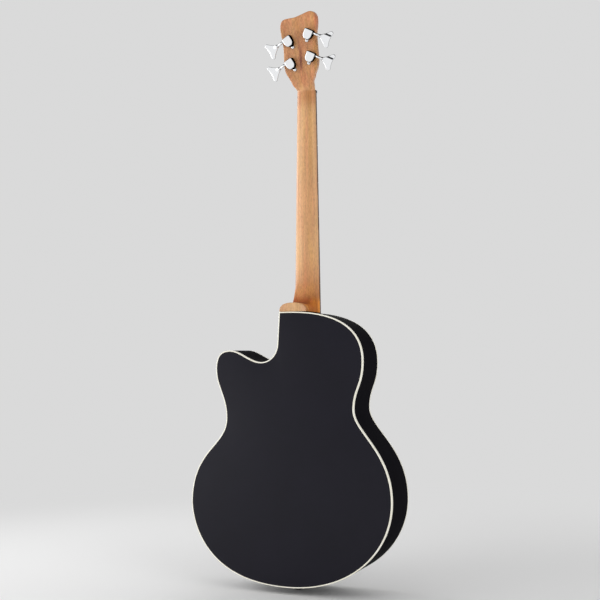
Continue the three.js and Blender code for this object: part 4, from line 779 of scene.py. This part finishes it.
def rosette():
    """Flat rings of cream, black and rosewood set into the front plate."""
    proud, deep = -0.03, 0.7
    bands = [(ROSETTE_IN - 0.25, 54.2, BINDING), (54.2, 55.4, BLACK_PLASTIC), (55.4, 59.6, ROSEWOOD),
             (59.6, 60.8, BLACK_PLASTIC), (60.8, ROSETTE_OUT + 0.25, BINDING)]
    for k, (low, high, finish) in enumerate(bands):
        ring = turned([(low, proud), (high, proud), (high, deep), (low, deep), (low, proud)], 120)
        piece(f"rosette_ring_{k + 1}", moved(ring, at(0, 0, HOLE_Z)), finish, "rosette")


bindings()
sides()
back_dome()
soundboard()
rosette()


# Neck
HEAD_SHARES = [
    (0.472, 0.0), (0.547, 0.045), (0.607, 0.079), (0.685, 0.126), (0.787, 0.181), (0.902, 0.235),
    (0.965, 0.295), (0.979, 0.358), (0.94, 0.505), (0.941, 0.618), (0.993, 0.766), (1.0, 0.834),
    (0.935, 0.896), (0.783, 0.932), (0.445, 0.943), (0.187, 0.946), (-0.192, 0.971),
    (-0.59, 0.999), (-0.789, 0.99), (-0.936, 0.951), (-0.984, 0.888), (-0.945, 0.798), (-0.871, 0.707),
    (-0.853, 0.582), (-0.852, 0.435), (-0.834, 0.344), (-0.741, 0.264), (-0.619, 0.205), (-0.589, 0.17),
    (-0.533, 0.144), (-0.484, 0.12), (-0.46, 0.088), (-0.461, 0.045), (-0.472, 0.0),
]


def head_outline(steps=8):
    """Smooth curve through the head's points, as (across, along) from the treble corner at the nut."""
    points = np.array(HEAD_SHARES) * [HEAD_HALF, HEAD_LENGTH]
    out = []
    for i in range(len(points) - 1):
        p0, p1 = points[max(i - 1, 0)], points[i]
        p2, p3 = points[i + 1], points[min(i + 2, len(points) - 1)]
        for k in range(steps):
            t = k / steps
            out.append(0.5 * (2 * p1 + (p2 - p0) * t + (2 * p0 - 5 * p1 + 4 * p2 - p3) * t ** 2
                              + (3 * p1 - p0 - 3 * p2 + p3) * t ** 3))
    out.append(points[-1])
    return np.array(out)


HEAD_EDGE = head_outline()


def head_half(along, side):
    """Width of the head from its middle to one side, at a place along it."""
    edge = HEAD_EDGE[HEAD_EDGE[:, 0] * side > 0]
    for a, b in zip(edge, edge[1:]):
        if (a[1] - along) * (b[1] - along) <= 0 and a[1] != b[1]:
            return abs(a[0] + (b[0] - a[0]) * (along - a[1]) / (b[1] - a[1]))
    return abs(edge[np.argmin(edge[:, 1])][0])


def neck_half(z):
    return mixed(NUT_WIDTH, NECK_WIDTH, (NUT_Z - z) / (NUT_Z - BODY_LENGTH)) / 2


def neck_depth(z):
    return mixed(NECK_DEPTH_NUT, NECK_DEPTH_BODY, (NUT_Z - z) / (NUT_Z - BODY_LENGTH))


def half_oval(treble, bass, depth, power, steps=40):
    """Half a section as (across, out) pairs, treble edge to bass edge; a low power makes it boxy."""
    pairs = []
    for k in range(steps + 1):
        c, s = math.cos(math.pi * k / steps), math.sin(math.pi * k / steps)
        half = treble if c > 0 else bass
        pairs.append((half * math.copysign(abs(c) ** power, c), depth * max(s, 0.0) ** power))
    return pairs


def tilted_ring(z, front, tilt, section):
    return [(x, front + out * math.cos(tilt), z - out * math.sin(tilt)) for x, out in section]


def neck(power=0.78):
    """Shaft, heel, head and tenon melted into one skin, then smoothed where they meet."""
    rings = [tilted_ring(z, 0, 0, half_oval(neck_half(z), neck_half(z), neck_depth(z), power))
             for z in np.linspace(BODY_LENGTH + GAP, NUT_Z, 40)]
    bend = HEAD_TILT / 2
    half = head_half(0, 1)
    rings.append(tilted_ring(HEAD_Z, 0, bend, half_oval(half, half, HEAD_THICKNESS / math.cos(bend), power)))
    for share in (k / 12 for k in range(1, 13)):
        along = 14.0 * share
        treble, bass = head_half(along, 1), head_half(along, -1)
        section = half_oval(treble, bass, HEAD_THICKNESS, power * (1 - share) + 0.04)
        z, front = HEAD_Z + along * math.cos(HEAD_TILT), along * math.sin(HEAD_TILT)
        rings.append(tilted_ring(z, front, HEAD_TILT, section))
    shaft = loft(rings)
    heel_rings = []
    cap, top = DEPTH_NECK, 13.0
    for y in [GAP, *[mixed(top, cap, t) for t in np.linspace(0, 1, 40) ** 1.8]]:
        t = max((y - top) / (cap - top), 0)
        half = mixed(NECK_WIDTH / 2 - GAP, HEEL_WIDTH / 2, t)
        reach = mixed(HEEL_CAP_REACH, HEEL_TOP_REACH, (1 - t) ** 7)
        heel_rings.append([(HEEL_SHIFT * t + x, y, BODY_LENGTH + GAP + out)
                           for x, out in half_oval(half, half, reach, power)])
    heel = loft(heel_rings)
    tenon = slab(rectangle(12, 515.6, 570), 8, 78, 0.5, 0.5, 2)
    start = 11.0
    kept = [tuple(p) for p in HEAD_EDGE if p[1] > start]
    outline = [(head_half(start, 1), start), *kept, (-head_half(start, -1), start)]
    head = moved(slab(outline, 0, HEAD_THICKNESS, 0.6, 1.6, 4), TILTED)
    thing = new_object("neck_and_head", joined(shaft, heel, head, tenon))
    melt = thing.modifiers.new("one piece", "REMESH")
    melt.mode = "VOXEL"
    melt.voxel_size = 1.15 * MM
    melt.use_smooth_shade = True
    baked(thing)
    bm = bmesh.new()
    bm.from_mesh(thing.data)
    # Above the heel and where the head bends back, the skin needs more smoothing
    hollow, bend_zone = [], []
    for v in bm.verts:
        y, z = v.co.y / MM + DEPTH_TAIL / 2, v.co.z / MM - FLOOR_GAP
        if 562 < z < 690 and 9 < y < 62:
            hollow.append(v)
        elif NUT_Z - 12 < z < HEAD_Z + 20 and y > 5:
            bend_zone.append(v)
    for verts, rounds, factor in ((hollow, 12, 0.5), (bend_zone, 7, 0.5), (bm.verts, 2, 0.4)):
        for _ in range(rounds):
            bmesh.ops.smooth_vert(bm, verts=verts, factor=factor, use_axis_x=True, use_axis_y=True,
                                  use_axis_z=True)
    bm.to_mesh(thing.data)
    bm.free()
    thing.data.shade_smooth()
    fitted(thing, NECK_WOOD, "neck")


neck()


# Fretboard, nut and frets
def board_front(x, half):
    """Depth y of the board's cambered front."""
    return BOARD_FRONT - BOARD_CAMBER * (1 - (x / half) ** 2)


def board():
    """Fretboard with a slight camber and softened edges."""
    soft, side_end = 0.5, -4.9
    rings = []
    for z in [BOARD_END, BOARD_END + 0.5, *np.linspace(BOARD_END + 6, NUT_Z - 0.8, 30), NUT_Z - GAP]:
        half = neck_half(z)
        xs = [half - soft - (2 * half - 2 * soft) * k / 20 for k in range(1, 20)]
        rings.append([(half, -GAP, z), (half, side_end, z), (half - soft, BOARD_FRONT, z),
                      *((x, board_front(x, half), z) for x in xs),
                      (soft - half, BOARD_FRONT, z), (-half, side_end, z), (-half, -GAP, z)])
    piece("cambered_fretboard", loft(rings), ROSEWOOD, "fretboard")


def new_tree(name, inputs):
    """Geometry node tree with named inputs: the tree, its graph and the sockets that give the inputs."""
    tree = bpy.data.node_groups.new(name, "GeometryNodeTree")
    for way in ("INPUT", "OUTPUT"):
        tree.interface.new_socket("Geometry", in_out=way, socket_type="NodeSocketGeometry")
    for title, value in inputs:
        kind = "NodeSocketInt" if isinstance(value, int) else "NodeSocketFloat"
        tree.interface.new_socket(title, in_out="INPUT", socket_type=kind).default_value = value
    graph = Graph(tree)
    return tree, graph, graph.add("NodeGroupInput").outputs


def round_wire(graph, curve, radius, sides, finish):
    """Ends a tree with a round wire on a curve, painted and made real."""
    ring = graph.add("GeometryNodeCurvePrimitiveCircle", {"Resolution": sides, "Radius": radius})
    skin = graph.add("GeometryNodeCurveToMesh", {"Curve": curve, "Profile Curve": ring.outputs[0],
                                                 "Fill Caps": True})
    painted = graph.add("GeometryNodeSetMaterial", {"Geometry": skin.outputs[0], "Material": finish.made})
    real = graph.add("GeometryNodeRealizeInstances", {0: painted.outputs[0]})
    graph.add("NodeGroupOutput", {0: real.outputs[0]})


def fret_tree():
    """Frets from the scale length by the twelfth-root rule, as wires across a tapering, cambered board."""
    tree, graph, given = new_tree("frets by rule", [
        ("Scale length", SCALE * MM), ("Nut height", (NUT_Z + FLOOR_GAP) * MM),
        ("Front", (-DEPTH_TAIL / 2 - 5.85) * MM), ("Half width at nut", (NUT_WIDTH / 2 - 0.4) * MM),
        ("Taper", 0.01513), ("Wire", 1.3 * MM), ("Frets", FRET_COUNT)])
    index = graph.add("GeometryNodeInputIndex").outputs["Index"]
    left = graph.reckon("POWER", 2.0, graph.reckon("DIVIDE", graph.reckon("ADD", index, 1.0), -12.0))
    run = graph.reckon("MULTIPLY", given["Scale length"], graph.reckon("SUBTRACT", 1.0, left))
    height = graph.reckon("SUBTRACT", given["Nut height"], run)
    half = graph.reckon("ADD", given["Half width at nut"], graph.reckon("MULTIPLY", run, given["Taper"]))
    spot = graph.add("ShaderNodeCombineXYZ", {"Y": given["Front"], "Z": height})
    points = graph.add("GeometryNodePoints", {"Count": given["Frets"]})
    put = graph.add("GeometryNodeSetPosition", {"Geometry": points.outputs[0], "Position": spot.outputs[0]})
    wire = graph.add("GeometryNodeCurvePrimitiveLine", {"Start": (-1, 0, 0), "End": (1, 0, 0)})
    fine = graph.add("GeometryNodeResampleCurve", {"Curve": wire.outputs[0], "Count": 9})
    size = graph.add("ShaderNodeCombineXYZ", {"X": half, "Y": 1, "Z": 1})
    spread = graph.add("GeometryNodeInstanceOnPoints", {"Points": put.outputs[0], "Instance": fine.outputs[0],
                                                        "Scale": size.outputs[0]})
    real = graph.add("GeometryNodeRealizeInstances", {0: spread.outputs[0]})
    # The wires follow the board's camber
    place = graph.add("GeometryNodeInputPosition").outputs[0]
    x = graph.add("ShaderNodeSeparateXYZ", {0: place}).outputs["X"]
    drop = graph.reckon("MULTIPLY", graph.reckon("MULTIPLY", x, x), 1.15)
    bow = graph.add("ShaderNodeCombineXYZ", {"Y": drop})
    bowed = graph.add("GeometryNodeSetPosition", {"Geometry": real.outputs[0], "Offset": bow.outputs[0]})
    round_wire(graph, bowed.outputs[0], given["Wire"], 14, FRET_METAL)
    return tree


def frets():
    thing = placed("fret_wires", bpy.data.meshes.new("fret_wires"))
    thing.modifiers.new("frets", "NODES").node_group = fret_tree()
    baked(thing)
    shaded(thing.data, 50)
    fitted(thing, FRET_METAL)


def markers():
    """Round position marks on the board's front, and small ones on its bass edge."""
    dots, edge_dots = [], []
    for fret in (3, 5, 7, 9, 12, 15, 17, 19):
        z = NUT_Z - (fret_run(fret - 1) + fret_run(fret)) / 2
        pair = fret == 12
        for x in ((-9.5, 9.5) if pair else (0.0,)):
            y = board_front(x, neck_half(z))
            dot = turned(rounded([(0, y - 0.06), (3.1, y - 0.03), (3.1, y + 0.6), (0, y + 0.6)], 0.1, 2), 32)
            dots.append(moved(dot, at(x, 0, z)))
        for shift in ((-4.0, 4.0) if pair else (0.0,)):
            dot = turned([(0, 0.06), (1.0, 0.04), (1.0, -0.5), (0, -0.5)], 20, "X")
            edge_dots.append(moved(dot, at(-neck_half(z), -3.0, z + shift) @ Matrix.Scale(-1, 4, (1, 0, 0))))
    piece("fretboard_dots", joined(*dots), BONE)
    piece("edge_dots", joined(*edge_dots), BONE)


board()
frets()
markers()
dressed("slotted_nut", "nut", BLACK_PLASTIC, 0.35)
dressed("string_saddle", "saddle", BONE, 0.3)


# Bridge, its pins, end pin, truss rod cover
def bridge_block():
    """A block between two thin wings, its edges rounded, cut for the saddle and the pins."""
    half, block, slope, corner_radius, high, wing, edge = 75.0, 46.0, 12.0, 9.0, 9.0, 3.5, 0.8
    front = SADDLE_Z + 9.0
    rear = front - 36.0
    run = [*np.linspace(0, block - 3, 12), *np.linspace(block - 2, block + slope + 2, 15),
           *np.linspace(63, half - corner_radius, 3),
           *(half - corner_radius * (1 - t) ** 2 for t in np.linspace(0.1, 0.66, 9)),
           *(half - edge * (1 - math.sin(math.pi / 2 * k / 4)) for k in range(5))]
    rings = []
    for x in [-x for x in reversed(run[1:])] + run:
        away = min(abs(x), half)
        t = min(max((away - block + 1) / (slope + 2), 0.0), 1.0)
        tip = max(away - (half - edge), 0.0)
        shrink = edge - math.sqrt(max(edge ** 2 - tip ** 2, 0.0))
        height = mixed(high, wing, t * t * (3 - 2 * t)) - shrink
        turn = 1 - math.sqrt(min((half - away) / corner_radius, 1.0))
        drop = corner_radius * turn ** 2 + shrink
        side = [(edge - height - GAP, 0.0)]
        for k in range(1, 5):
            c, s = math.cos(math.pi * k / 8), math.sin(math.pi * k / 8)
            side.append((edge * (1 - s) - height - GAP, edge * (1 - c)))
        side.append((-height - GAP, edge + 0.15))
        low, far = rear + drop, front - drop
        rings.append([(x, -GAP, low), (x, -GAP, far), *((x, y, far - inwards) for y, inwards in side),
                      *((x, y, low + inwards) for y, inwards in reversed(side))])
    thing = new_object("bridge_block", loft(rings))
    slot = rectangle(40.3, SADDLE_Z - 1.8, SADDLE_Z + 1.8)
    knives = [new_object("slot", slab(slot, -20, -3.8, 0.02, 0.02, 1))]
    for x in PINS_X:
        hole = turned([(0, -20), (PIN_HOLE, -20), (PIN_HOLE, 5), (0, 5)], 32)
        knives.append(new_object("hole", moved(hole, at(x, 0, PIN_Z))))
    fitted(cut(thing, *knives), BRIDGE_WOOD, "bridge")


def bridge_pins():
    head = -9.6
    crown = rounded([(0, head), (4.0, head), (5.0, head - 0.4), (5.0, head - 2.4), (3.4, head - 4.1),
                     (0, head - 4.5)], 1.2)
    shaft = [(0, 9.8), (1.9, 9.8), (3.4, 7.8), (3.7, head + 0.4), (3.7, head), (0, head)]
    dot = rounded([(0, -14.12), (1.5, -14.08), (1.5, -13.4), (0, -13.4)], 0.1, 2)
    for i, x in enumerate(PINS_X):
        pin = joined(moved(turned(crown, 40), at(x, 0, PIN_Z)),
                     moved(turned(shaft, 32), at(x, 0, PIN_Z - 0.2)))
        piece(f"bridge_pin_{i + 1}_turned", pin, BLACK_PLASTIC, f"bridge_pin_{i + 1}")
        piece(f"bridge_pin_{i + 1}_dot", moved(turned(dot, 24), at(x, 0, PIN_Z)), BONE)


def end_pin():
    profile = rounded([(0, -14), (8.5, -14), (8.5, -10), (5.5, -7.75), (5.6, -1.2), (6.6, -0.1), (4.5, -0.05),
                       (4.5, 24), (0, 24)], 0.9, 4)
    piece("strap_pin", moved(turned(profile, 64, "Z"), at(0, DEPTH_TAIL / 2, 0)), BLACK_PLASTIC, "end_pin")


def rod_cover():
    """Bell-shaped plate with its three screws."""
    half = 12.5
    flank = [(bent(half, half, 0, k / 24), bent(GAP, 20, 40, k / 24)) for k in range(1, 25)]
    outline = [(-half, GAP), (half, GAP), *flank, *((-x, z) for x, z in reversed(flank[:-1]))]
    plate = slab(outline, -2.3, -GAP, 0.8, 0.05, 4)
    piece("bell_cover", plate, BLACK_PLASTIC, "truss_rod_cover", matrix=TO_HEAD)
    head = rounded([(0, -3.0), (1.2, -2.95), (1.9, -2.35), (1.9, -2.2), (0, -2.2)], 0.3, 3)
    screws = [moved(turned(head, 24), at(x, 0, z)) for x, z in ((-9.2, 4.0), (9.2, 4.0), (0.0, 34.0))]
    piece("cover_screws", joined(*screws), CHROME, matrix=TO_HEAD)


bridge_block()
bridge_pins()
end_pin()
rod_cover()


# Strings
def eased(corners, steps=6, reach=2.6):
    """Path through corners with each of them rounded."""
    out = [corners[0]]
    for before, here, after in zip(corners, corners[1:], corners[2:]):
        reach_in, reach_out = (min(reach, (end - here).length / 3) for end in (before, after))
        out += corner(before, here, after, reach_in, reach_out, steps)
    out.append(corners[-1])
    return out


def string_route(i):
    """From the ball under the bridge plate over the saddle and nut to the last wrap on its post."""
    radius = STRING_RADII[i]
    post_radius, first_wrap, wrap_gap, turn_steps, wrap_steps = 4.2, 6, 0.55, 36, 84
    x, z = PINS_X[i], PIN_Z + PIN_HOLE - GAP - radius
    ball_y = PLATE + 0.2 + GAP + 2.6 + GAP + BALL_RADIUS
    under_head, over_saddle = radius - 9.0, -14.3 - radius
    head_edge = PIN_Z + 5.3
    slope = (over_saddle - under_head) / (SADDLE_Z - head_edge)
    nut = Vector((NUT_SLOTS_X[i], -7.6 - radius, NUT_Z + NUT_THICKNESS * 0.95))
    side, along = POSTS[i]
    coil = post_radius + GAP + radius
    middle = Vector((side * POST_SIDE, along))
    start = TILTED.inverted() @ nut
    offset = Vector((start.x, start.z)) - middle
    meet = math.atan2(offset.y, offset.x) - side * math.acos(coil / offset.length)
    wraps = []
    for k in range(wrap_steps + 1):
        turn = k / turn_steps
        angle = meet - side * 2 * math.pi * turn
        height = first_wrap + (2 * radius + wrap_gap) * turn
        x_wrap, z_wrap = middle.x + coil * math.cos(angle), middle.y + coil * math.sin(angle)
        wraps.append(TILTED @ Vector((x_wrap, -height, z_wrap)))
    return eased([Vector((x, ball_y, z)), Vector((x, under_head + slope * (z - head_edge), z)),
                  Vector((x, over_saddle, SADDLE_Z)), nut, wraps[0]]) + wraps[1:]


def string_tree():
    """Round wire along a path, with the distance along it kept for the winding's pattern."""
    tree, graph, given = new_tree("string on its path", [("Radius", 0.0)])
    length = graph.add("GeometryNodeSplineParameter").outputs["Length"]
    kept = graph.add("GeometryNodeStoreNamedAttribute", {"Geometry": given["Geometry"], "Name": "along",
                                                         "Value": length})
    round_wire(graph, kept.outputs[0], given["Radius"], 12, STRING_METAL)
    return tree


def strings():
    tree = string_tree()
    socket = next(s for s in tree.interface.items_tree if s.name == "Radius").identifier
    for i, radius in enumerate(STRING_RADII):
        name = f"string_{i + 1}"
        route = [TO_ROW @ p for p in string_route(i)]
        path = bpy.data.curves.new(f"{name}_path", "CURVE")
        path.dimensions = "3D"
        spline = path.splines.new("POLY")
        spline.points.add(len(route) - 1)
        for point, place in zip(spline.points, route):
            point.co = (*place, 1)
        guide = placed(f"{name}_path", path)
        grown = guide.modifiers.new("string", "NODES")
        grown.node_group = tree
        grown[socket] = radius * 0.97 * MM
        mesh = grown_mesh(guide)
        bpy.data.objects.remove(guide)
        mesh.name = f"{name}_wire"
        shaded(mesh, 60)
        fitted(placed(f"{name}_wire", mesh), STRING_METAL, name)
        turns = [math.pi * k / 12 for k in range(13)]
        ball = turned([(max(BALL_RADIUS * math.sin(a), 0.0), BALL_RADIUS * math.cos(a)) for a in turns], 24)
        piece(f"{name}_ball", moved(ball, Matrix.Translation(TO_ROW.inverted() @ route[0])), ROD_STEEL)


strings()


# Tuners
def housing_outline():
    """Outline of the gear's housing: straight at the key's end, drawn in towards the screw tab."""
    half, top, shoulder, bottom, foot = 10, 12.45, 2, -9.2, 4
    flank = [(bent(half, half, foot, t), bent(shoulder, bottom * 0.6, bottom, t))
             for t in (k / 16 for k in range(1, 17))]
    return softened([(-half, top), (-half, shoulder), *((-x, z) for x, z in flank), *reversed(flank),
                     (half, shoulder), (half, top)], 2.7)


def key_span(z):
    """Inner and outer edge of the key's three-pronged plate at a height from its shaft."""
    z = abs(z)
    root, pull, reach, notch, lobe, lobe_z, waist = 28.2, 36.6, 47.6, 49.8, 4.3, 13.7, 8.4
    root_half = 4.0
    top = lobe_z + lobe * 0.7
    round_part = math.sqrt(max(lobe ** 2 - (z - lobe_z) ** 2, 0))
    if z <= root_half:
        low = root - 0.8 * (1 - z / root_half)
    elif z < top:
        a, b, c = root_half - 2 * waist + top, 2 * (waist - root_half), root_half - z
        t = (-b + math.sqrt(max(b * b - 4 * a * c, 0))) / (2 * a)
        low = bent(root, pull, reach - lobe * 0.7, t)
    else:
        low = reach - round_part
    bend = lobe_z - lobe / 2
    if z < bend:
        return low, mixed(notch, reach + lobe * math.cos(math.pi / 6), (z / bend) ** 2)
    return low, reach + round_part


def key_shell(step):
    """Shaft and three-pronged button; step sets the upper prong's end back from the plate."""
    heights = [*range(7), 6.6, 7.2, 7.8, 8.4, 9, 9.6, 10.2, *range(11, 17), 16.7, 17.2, 17.6, 17.85, 17.97]
    fractions = [0, 0.08, 0.3, 0.6, 1.0]
    edge, plate_half = 0.9, 1.6
    rings = []
    for z in [-z for z in reversed(heights[1:])] + heights:
        low, high = key_span(z)
        tip = min(18.0 - abs(z), edge)
        limit = plate_half - edge + math.sqrt(edge ** 2 - (edge - tip) ** 2)
        rise = min(max((z - 6.3) / 4.2, 0.0), 1.0)
        shift = -step * rise * rise * (3 - 2 * rise)
        reach = min(edge, (high - low) / 2)
        xs = [low + reach * f for f in fractions]
        xs += [low + reach + (high - low - 2 * reach) * k / 7 for k in range(1, 7)]
        xs += [high - reach * f for f in reversed(fractions)]
        upper, lower = [], []
        for x in xs:
            d = min(x - low, high - x, edge)
            half = min(limit, plate_half - edge + math.sqrt(max(edge ** 2 - (edge - d) ** 2, 0)))
            half += 0.8 * max(0.0, 1 - (z / 5) ** 2) * max(0.0, 1 - abs(x - 28) / 9)
            dish = 0.16 * math.exp(-((x - 47.4) ** 2 + (abs(z) - 13.7) ** 2) / 7.0)
            upper.append((x, shift + max(half - dish, 0.05), z))
            lower.append((x, shift - max(half - dish, 0.05), z))
        rings.append(upper + lower[::-1])
    shaft = rounded([(0, 8.6), (1.45, 8.6), (2.1, 9.2), (2.1, 25.1), (3.6, 25.3), (3.6, 26.6), (2.6, 26.9),
                     (3.6, 27.3), (3.6, 28.6), (2.6, 29.4), (1.6, 34), (0, 35)], 0.4, 3)
    bar, boxy = [], 0.75
    for x, half in ((11.7, 2.2), (12.0, 2.6), (12.4, 2.75), (24.6, 2.6), (25.0, 2.3)):
        circle = [(math.cos(math.pi * k / 18), math.sin(math.pi * k / 18)) for k in range(36)]
        bar.append([(x, *(half * math.copysign(abs(v) ** boxy, v) for v in pair)) for pair in circle])
    worm_core = [(0, -8.4), (1.5, -8.4), (1.5, 8.8), (0, 8.8)]
    return joined(loft(rings), turned(shaft, 36, "X"), loft(bar), turned(worm_core, 20, "X"))


def worm_thread(steps=20):
    """One thread wound round the worm's core, a trapezium in section."""
    section = ((1.2, -TOOTH_ROOT), (1.2, TOOTH_ROOT), (3.05, TOOTH_TIP), (3.05, -TOOTH_TIP))
    rings = []
    for k in range(round(WORM_TURNS * steps) + 1):
        turn = k / steps - WORM_TURNS / 2
        angle = 2 * math.pi * turn
        rings.append([(WORM_LEAD * turn + shift, r * math.sin(angle), -r * math.cos(angle))
                      for r, shift in section])
    return loft(rings)


def post_shell():
    """Post that stands out on the head's front, with its worm wheel at the back."""
    front = -HEAD_THICKNESS
    top, low, high = front - 20, 4.0, 8.4
    profile = rounded([(0, top), (4.6, top), (4.6, top + 4.4), (4.2, top + 4.8), (4.2, front - 3.4),
                       (4.6, front - 3.0), (4.6, 0), (4.37, low), (4.37, high), (0, high)], 0.5, 3)
    teeth = []
    for n in range(WHEEL_TEETH):
        turn = 2 * math.pi / WHEEL_TEETH * (n + 0.5) + math.pi / 2
        c, s = math.cos(turn), math.sin(turn)
        for r, t in ((4.65, -TOOTH_ROOT), (6.25, -TOOTH_TIP), (6.25, TOOTH_TIP), (4.65, TOOTH_ROOT)):
            teeth.append((r * c - t * s, r * s + t * c))
    rings = []
    for y in np.linspace(low, high, 5):
        lean = (y - GEAR_HEIGHT) * WORM_LEAD / (2 * math.pi * WORM_RADIUS) / WHEEL_RADIUS
        c, s = math.cos(lean), math.sin(lean)
        rings.append([(x * c + z * s, y, -x * s + z * c) for x, z in teeth])
    return joined(turned(profile, 40), loft(rings))


def store_painted_shade(thing, place, tone):
    """Keeps on each face how much painted dark reflection it gets, by its normal and centre in the tuner's
    place.
    """
    back = place.inverted()
    turn = back.to_3x3().normalized()
    values = [tone((turn @ face.normal).normalized(), back @ face.center) for face in thing.data.polygons]
    thing.data.attributes.new("wall", "FLOAT", "FACE").data.foreach_set("value", values)


# Painted dark reflection on the housing's walls, strongest on the walls that face up
def housing_painted_shade(normal, _):
    return (1 - abs(normal.y)) * (1 + 4 * max(normal.z, 0.0))


# Painted shade line along the top of the key's shaft, and painted dark reflection on the plate's rims
def key_painted_shade(normal, centre):
    if centre.x < 11.5:
        return 0.0
    return 0.28 * max(normal.z, 0.0) if centre.x < 25 else 0.24 * (1 - abs(normal.y))


def slotted_screw(name, place):
    """Tab screw with a cross cut in its head."""
    head = rounded([(0, -8.7), (1.3, -7.4), (1.3, 2.4), (2.4, 2.5), (2.3, 3.2), (1.4, 3.8), (0, 3.9)],
                   0.25, 3)
    screw = new_object(name, moved(turned(head, 28), at(0, 0, TAB_Z)), place)
    slots = [new_object("slot", slab(rectangle(a, TAB_Z - b, TAB_Z + b), 3.1, 5.0, 0.02, 0.02, 1), place)
             for a, b in ((1.3, 0.28), (0.28, 1.3))]
    return cut(screw, *slots)


def tuners():
    gear = at(0, GEAR_HEIGHT, GEAR_DISTANCE)
    tab_end = [math.pi + math.pi * k / 16 for k in range(17)]
    tab = [(TAB_RADIUS, -8), (-TAB_RADIUS, -8),
           *((TAB_RADIUS * math.cos(a), TAB_Z + TAB_RADIUS * math.sin(a)) for a in tab_end)]
    boss = turned(rounded([(0, 8.6), (3.6, 8.6), (3.6, 10.9), (3.1, 11.4), (0, 11.4)], 0.4, 3), 32, "X")
    housing = joined(slab(housing_outline(), GAP, 12.4, 0.3, 1.7, 6), slab(tab, GAP, 2.1, 0.1, 0.6, 3),
                     moved(boss, gear))
    front = -HEAD_THICKNESS - GAP
    washer = rounded([(4.9, front + 7), (4.9, front - 1.5), (5.4, front - 1.7), (7.6, front - 1.5),
                      (8.4, front - 0.6), (8.4, front), (6.9, front), (6.9, front + 7), (4.9, front + 7)],
                     0.3, 3)
    for i, (side, along) in enumerate(POSTS):
        n = i + 1
        place = TO_HEAD @ at(side * POST_SIDE, HEAD_THICKNESS, along) \
            @ Matrix.Rotation(TUNER_TURN * side, 4, "Y") @ Matrix.Scale(side, 4, (1, 0, 0))
        # The bass-side keys, on the negative side, have the stepped prong
        key = joined(moved(key_shell(2.3 if side < 0 else 0.0), gear), moved(worm_thread(), gear))
        button = piece(f"key_{n}_button", key, CHROME_WITH_PAINTED_SHADE, f"tuner_key_{n}", f"key_{n}", place, 50)
        # Painted dark reflections and shade on the key's and the housing's walls
        store_painted_shade(button, place, key_painted_shade)
        shell = piece(f"tuner_{n}_shell", housing, CHROME_WITH_PAINTED_SHADE, f"tuner_housing_{n}", matrix=place)
        store_painted_shade(shell, place, housing_painted_shade)
        piece(f"tuner_{n}_post_turned", post_shell(), CHROME, f"tuner_post_{n}", f"post_{n}", place)
        piece(f"tuner_{n}_bushing_turned", turned(washer), CHROME, f"tuner_bushing_{n}", matrix=place)
        fitted(slotted_screw(f"tuner_{n}_screw_turned", place), CHROME, f"tuner_screw_{n}")


tuners()


# Inner pieces keep their CAD shapes
def inner_finishes():
    for name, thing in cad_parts.items():
        if thing.hide_render:
            continue
        if "brace" in name or "lining" in name or name == "tone_bar":
            finish = SPRUCE
        elif name in ("neck_block", "tail_block", "bridge_plate"):
            finish = BLOCK_WOOD
        elif name.startswith("truss_rod"):
            finish = ROD_STEEL
        else:
            continue
        for slot in thing.material_slots:
            slot.material = finish.made


inner_finishes()

bpy.context.scene.view_settings.view_transform = "Standard"
